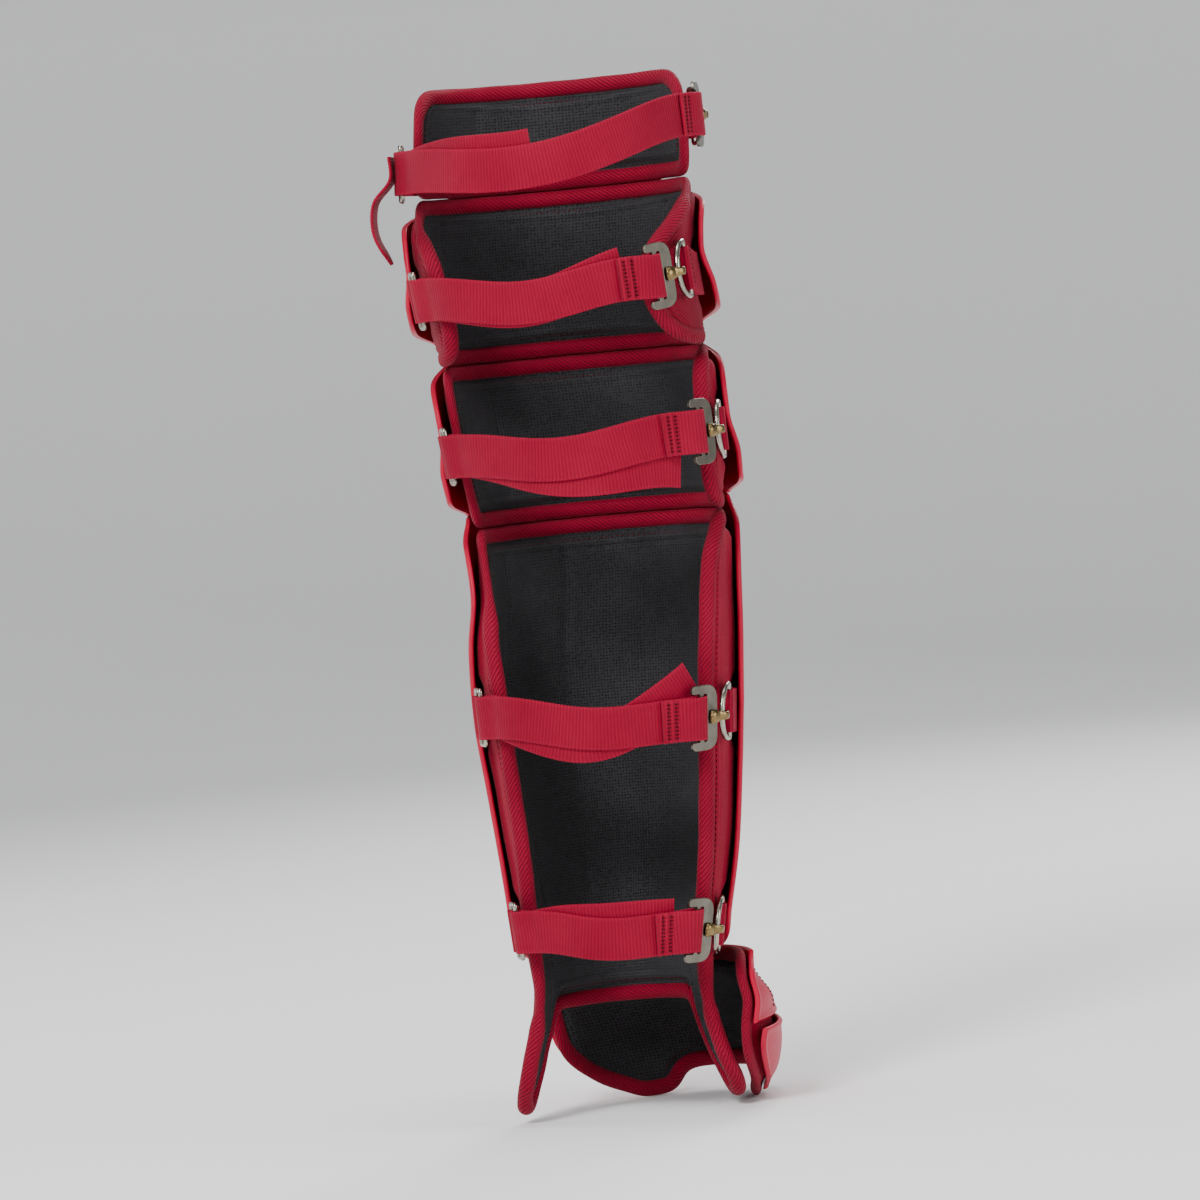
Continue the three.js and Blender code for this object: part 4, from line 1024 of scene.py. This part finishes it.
def fastenings(strap):
    """Hook, ring, slider and their tabs, and where the strap meets them"""
    name = strap.name
    low, high = PAD_SPANS[strap.pad]
    level = mix(low, high, strap.level)
    hook_level = level + strap.lift * WEB_WIDTH
    seat = RUN_SEAT + HOOK_TURN
    per_degree = place_on_leg(-1, strap.hook, hook_level, seat).per_degree
    bar_angle = strap.hook + HOOK_BAR_AT / per_degree
    hook = place_on_leg(-1, bar_angle, hook_level, seat)
    hook.point = along(hook, -HOOK_BAR_AT)
    hook_plate(f"{name}_hook_plate", hook)
    bow = claw(name, hook)
    ring_angle = strap.hook - RING_ARC
    ring_seat = pad_outside(ring_angle) + 3 * CLEARANCE + TAB_WEB + RING_WIRE / 2
    aim = place_on_leg(-1, ring_angle, hook_level, ring_seat)
    forward = square_to(hook.up, aim.point - bow)
    ring_bar = bow + forward * RING_DEPTH
    ring = Shape()
    wire_ring(ring, d_outline(), ring_bar, -forward, hook.up, RING_WIRE, RING_CORNER)
    piece(f"{name}_ring", ring, [RING_METAL], [f"{name}_ring"])
    ring_rows = tab(f"{name}_ring_tab", ring_bar, -1, hook_level, RING_WIRE, ring_angle, hook.up)
    slider = place_on_leg(1, strap.slider, level, RUN_SEAT + SLIDER_TURN)
    loop = Shape()
    wire_ring(loop, box_outline(SLIDER_DEPTH), slider.point, slider.back, slider.up,
              SLIDER_WIRE, SLIDER_CORNER)
    piece(f"{name}_slider", loop, [RING_METAL], [f"{name}_slider"])
    slider_rows = tab(f"{name}_slider_tab", slider.point, 1, level, SLIDER_WIRE, strap.slider,
                      slider.up)
    return {"level": level, "hook_level": hook_level, "hook": hook, "bar_angle": bar_angle,
            "slider": slider, "rows": [ring_rows, slider_rows]}


def strap_band(strap, level, hook_level, hook, bar_angle, slider, rows):
    """Second layer, turn at the slider, run round the back, turn at the hook, sewn fold"""
    name, slack = strap.name, strap.slack
    from_angle = strap.slider + (SLIDER_DEPTH + NECK) / slider.per_degree
    to_angle = 360 - bar_angle - NECK / hook.per_degree
    stations = []

    def run(angle, extra=0.0, drop=0.0):
        """Point of the strap at an angle round the leg, and the direction across it"""
        s = np.clip((angle - from_angle) / (to_angle - from_angle), 0, 1)
        sag = strap.dip * WEB_WIDTH * math.sin(math.pi * s) ** 2
        height = mix(level, hook_level, smooth(s, 0, 1)) - sag
        doubled = 1 - smooth(angle, strap.inner + 2, strap.inner + 36)
        hooked = smooth(angle, 324 - strap.outer, 358 - strap.outer)
        out = slack + (RUN_SEAT + LAYER_PITCH - slack) * doubled + (RUN_SEAT - slack) * hooked + extra
        up = unit(on_leg(angle, height + 5, out) - on_leg(angle, height - 5, out))
        return on_leg(angle, height, out) - up * drop * WEB_WIDTH, up

    def fold_at(place, distance, radius):
        turned = half_turn(along(place, distance), -place.back, place.outward, radius)
        stations.extend((point, place.up) for point in turned)

    for s in np.linspace(0, 1, 25):
        drop = strap.layer_drop * math.sin(math.pi * s) + strap.end_drop * (1 - s) ** 2
        stations.append(run(mix(strap.layer_end, from_angle, s), -LAYER_PITCH, drop))
    fold_at(slider, SLIDER_DEPTH, SLIDER_TURN)
    for s in np.linspace(0, 1, 40):
        stations.append(run(mix(from_angle, to_angle, s)))
    fold_at(hook, HOOK_BAR_AT, HOOK_TURN)
    fold_lift = LAYER_PITCH + CLEARANCE
    sewn = [FOLD * 0.12, FOLD * 0.62]
    for distance in np.linspace(0, FOLD, 14):
        pinch = sum(math.exp(-((distance - at) / 1.2) ** 2) for at in sewn)
        stations.append(run(to_angle - distance / hook.per_degree, fold_lift - SEWN_DOWN * min(pinch, 1)))
    shape = Shape()
    webbing(shape, *zip(*stations), WEB_WIDTH, WEB)
    piece(f"{name}_strap", shape, [WEBBING_RED], [f"{name}_strap"])

    sewing = Shape()
    for at in sewn:
        angle = to_angle - at / hook.per_degree
        here, up = run(angle, fold_lift - SEWN_DOWN)
        beyond, _ = run(angle - 1, fold_lift - SEWN_DOWN)
        outward = unit(np.cross(up, here - beyond))
        outward *= np.sign(np.dot(outward, here * [1, 1, 0]))
        # three rows of the dark thread side by side make a dark band that also paints the shadow of the
        # pinched, sewn groove
        for shift in (-0.9, 0, 0.9):
            centre = here + outward * (WEB / 2 + 0.05) + unit(here - beyond) * shift
            stitch_across(sewing, centre, up, outward, 1.5, 2.1, 0.36)
    for part in rows:
        sewing.join(part)
    piece(f"{name}_strap_stitches", sewing, [THREAD])


seats = {}
for strap in STRAPS:
    seats[strap.name] = fastenings(strap)
    strap_band(strap, **seats[strap.name])

thigh_slider = seats["thigh"]["slider"]
tail_top = along(thigh_slider, SLIDER_DEPTH, SLIDER_TURN + WEB + CLEARANCE)
tail_path = [tail_top + thigh_slider.outward * out * WEB_WIDTH - np.array([0, 0, down * WEB_WIDTH])
             for out, down in TAIL_FORM]
tail = Shape()
webbing(tail, tail_path, [thigh_slider.back] * len(tail_path), WEB_WIDTH, WEB, tip=9)
piece("thigh_strap_tail", tail, [WEBBING_RED], ["thigh_strap_tail"])


# Floor, light and camera

def stage_material():
    """Pale floor that turns grey high up on the bowl's wall"""
    g = Graph("pale_floor", Roughness=0.9, Specular_IOR_Level=0.1)
    height = g.node("ShaderNodeSeparateXYZ", {0: g.place}).outputs[2]
    pale = g.mix(g.noise(1.5, 2), (0.94, 0.94, 0.94), (0.96, 0.96, 0.96))
    colour = g.mix(g.range(height, floor_z + 0.9, floor_z + 2.2, 0, 1), pale, (0.16, 0.16, 0.17))
    return g.finish(colour, 0.9, g.bump(g.noise(40, 2), 0.4, 0.1))


floor_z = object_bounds()[0].z
FLOOR_RADIUS, BEND_RADIUS, WALL_TOP, FLOOR_GAP = 3.0, 1.6, 4.5, 0.0005
turns = 96
bend = np.linspace(0.1, np.pi / 2, 12)
radii = np.concatenate([[0.0004, 1.0, 2.0, FLOOR_RADIUS], FLOOR_RADIUS + BEND_RADIUS * np.sin(bend),
                        [FLOOR_RADIUS + BEND_RADIUS]])
heights = np.concatenate([[0, 0, 0, 0], BEND_RADIUS * (1 - np.cos(bend)), [WALL_TOP]])
ring = circle(1, turns)
bowl_points = np.concatenate([ring[None] * radii[:, None, None],
                              np.broadcast_to(heights[:, None, None], (len(radii), turns, 1))], -1)
bowl = bpy.data.meshes.new("floor")
bowl_faces = [(r * turns + c, r * turns + (c + 1) % turns, (r + 1) * turns + (c + 1) % turns,
               (r + 1) * turns + c) for r in range(len(radii) - 1) for c in range(turns)]
bowl.from_pydata((bowl_points.reshape(-1, 3) + [0, 0, floor_z - FLOOR_GAP]).tolist(), [], bowl_faces)
bowl.polygons.foreach_set("use_smooth", np.ones(len(bowl.polygons), bool))
bowl.materials.append(stage_material())
floor = put("floor", bowl)

world = bpy.data.worlds.new("studio")
world.use_nodes = True
world.node_tree.nodes["Background"].inputs[0].default_value = (0.95, 0.97, 1.0, 1)
world.node_tree.nodes["Background"].inputs[1].default_value = 0.5
bpy.context.scene.world = world

middle = Vector((0.0, 0.06, 0.065))
for name, place, size, watts in [
    ("key", (1.0, 2.1, 1.6), 1.0, 74),
    ("fill", (-1.9, 1.3, 0.6), 1.4, 22),
    ("front", (-0.9, -2.1, 1.5), 1.1, 36),
    ("front_side", (1.9, -1.1, 0.5), 1.2, 13),
    ("top", (0.0, 0.2, 2.6), 1.2, 30),
]:
    lamp = bpy.data.lights.new(name, "AREA")
    lamp.shape, lamp.size, lamp.energy = "DISK", size, watts
    obj = put(name, lamp)
    obj.location = place
    obj.rotation_euler = (middle - Vector(place)).to_track_quat("-Z", "Y").to_euler()

ELEVATION, LEAN, DISTANCE, LENS = 2.5, 5.26, 3.5, 180
camera = bpy.data.cameras.new("camera")
camera.lens = LENS
camera_object = put("camera", camera)
back = Vector((0, math.cos(math.radians(ELEVATION)), math.sin(math.radians(ELEVATION))))
camera_object.location = middle + back * DISTANCE
look = (-back).to_track_quat("-Z", "Y").to_matrix() @ Matrix.Rotation(math.radians(-LEAN), 3, "Z")
camera_object.rotation_euler = look.to_euler()
bpy.context.scene.camera = camera_object
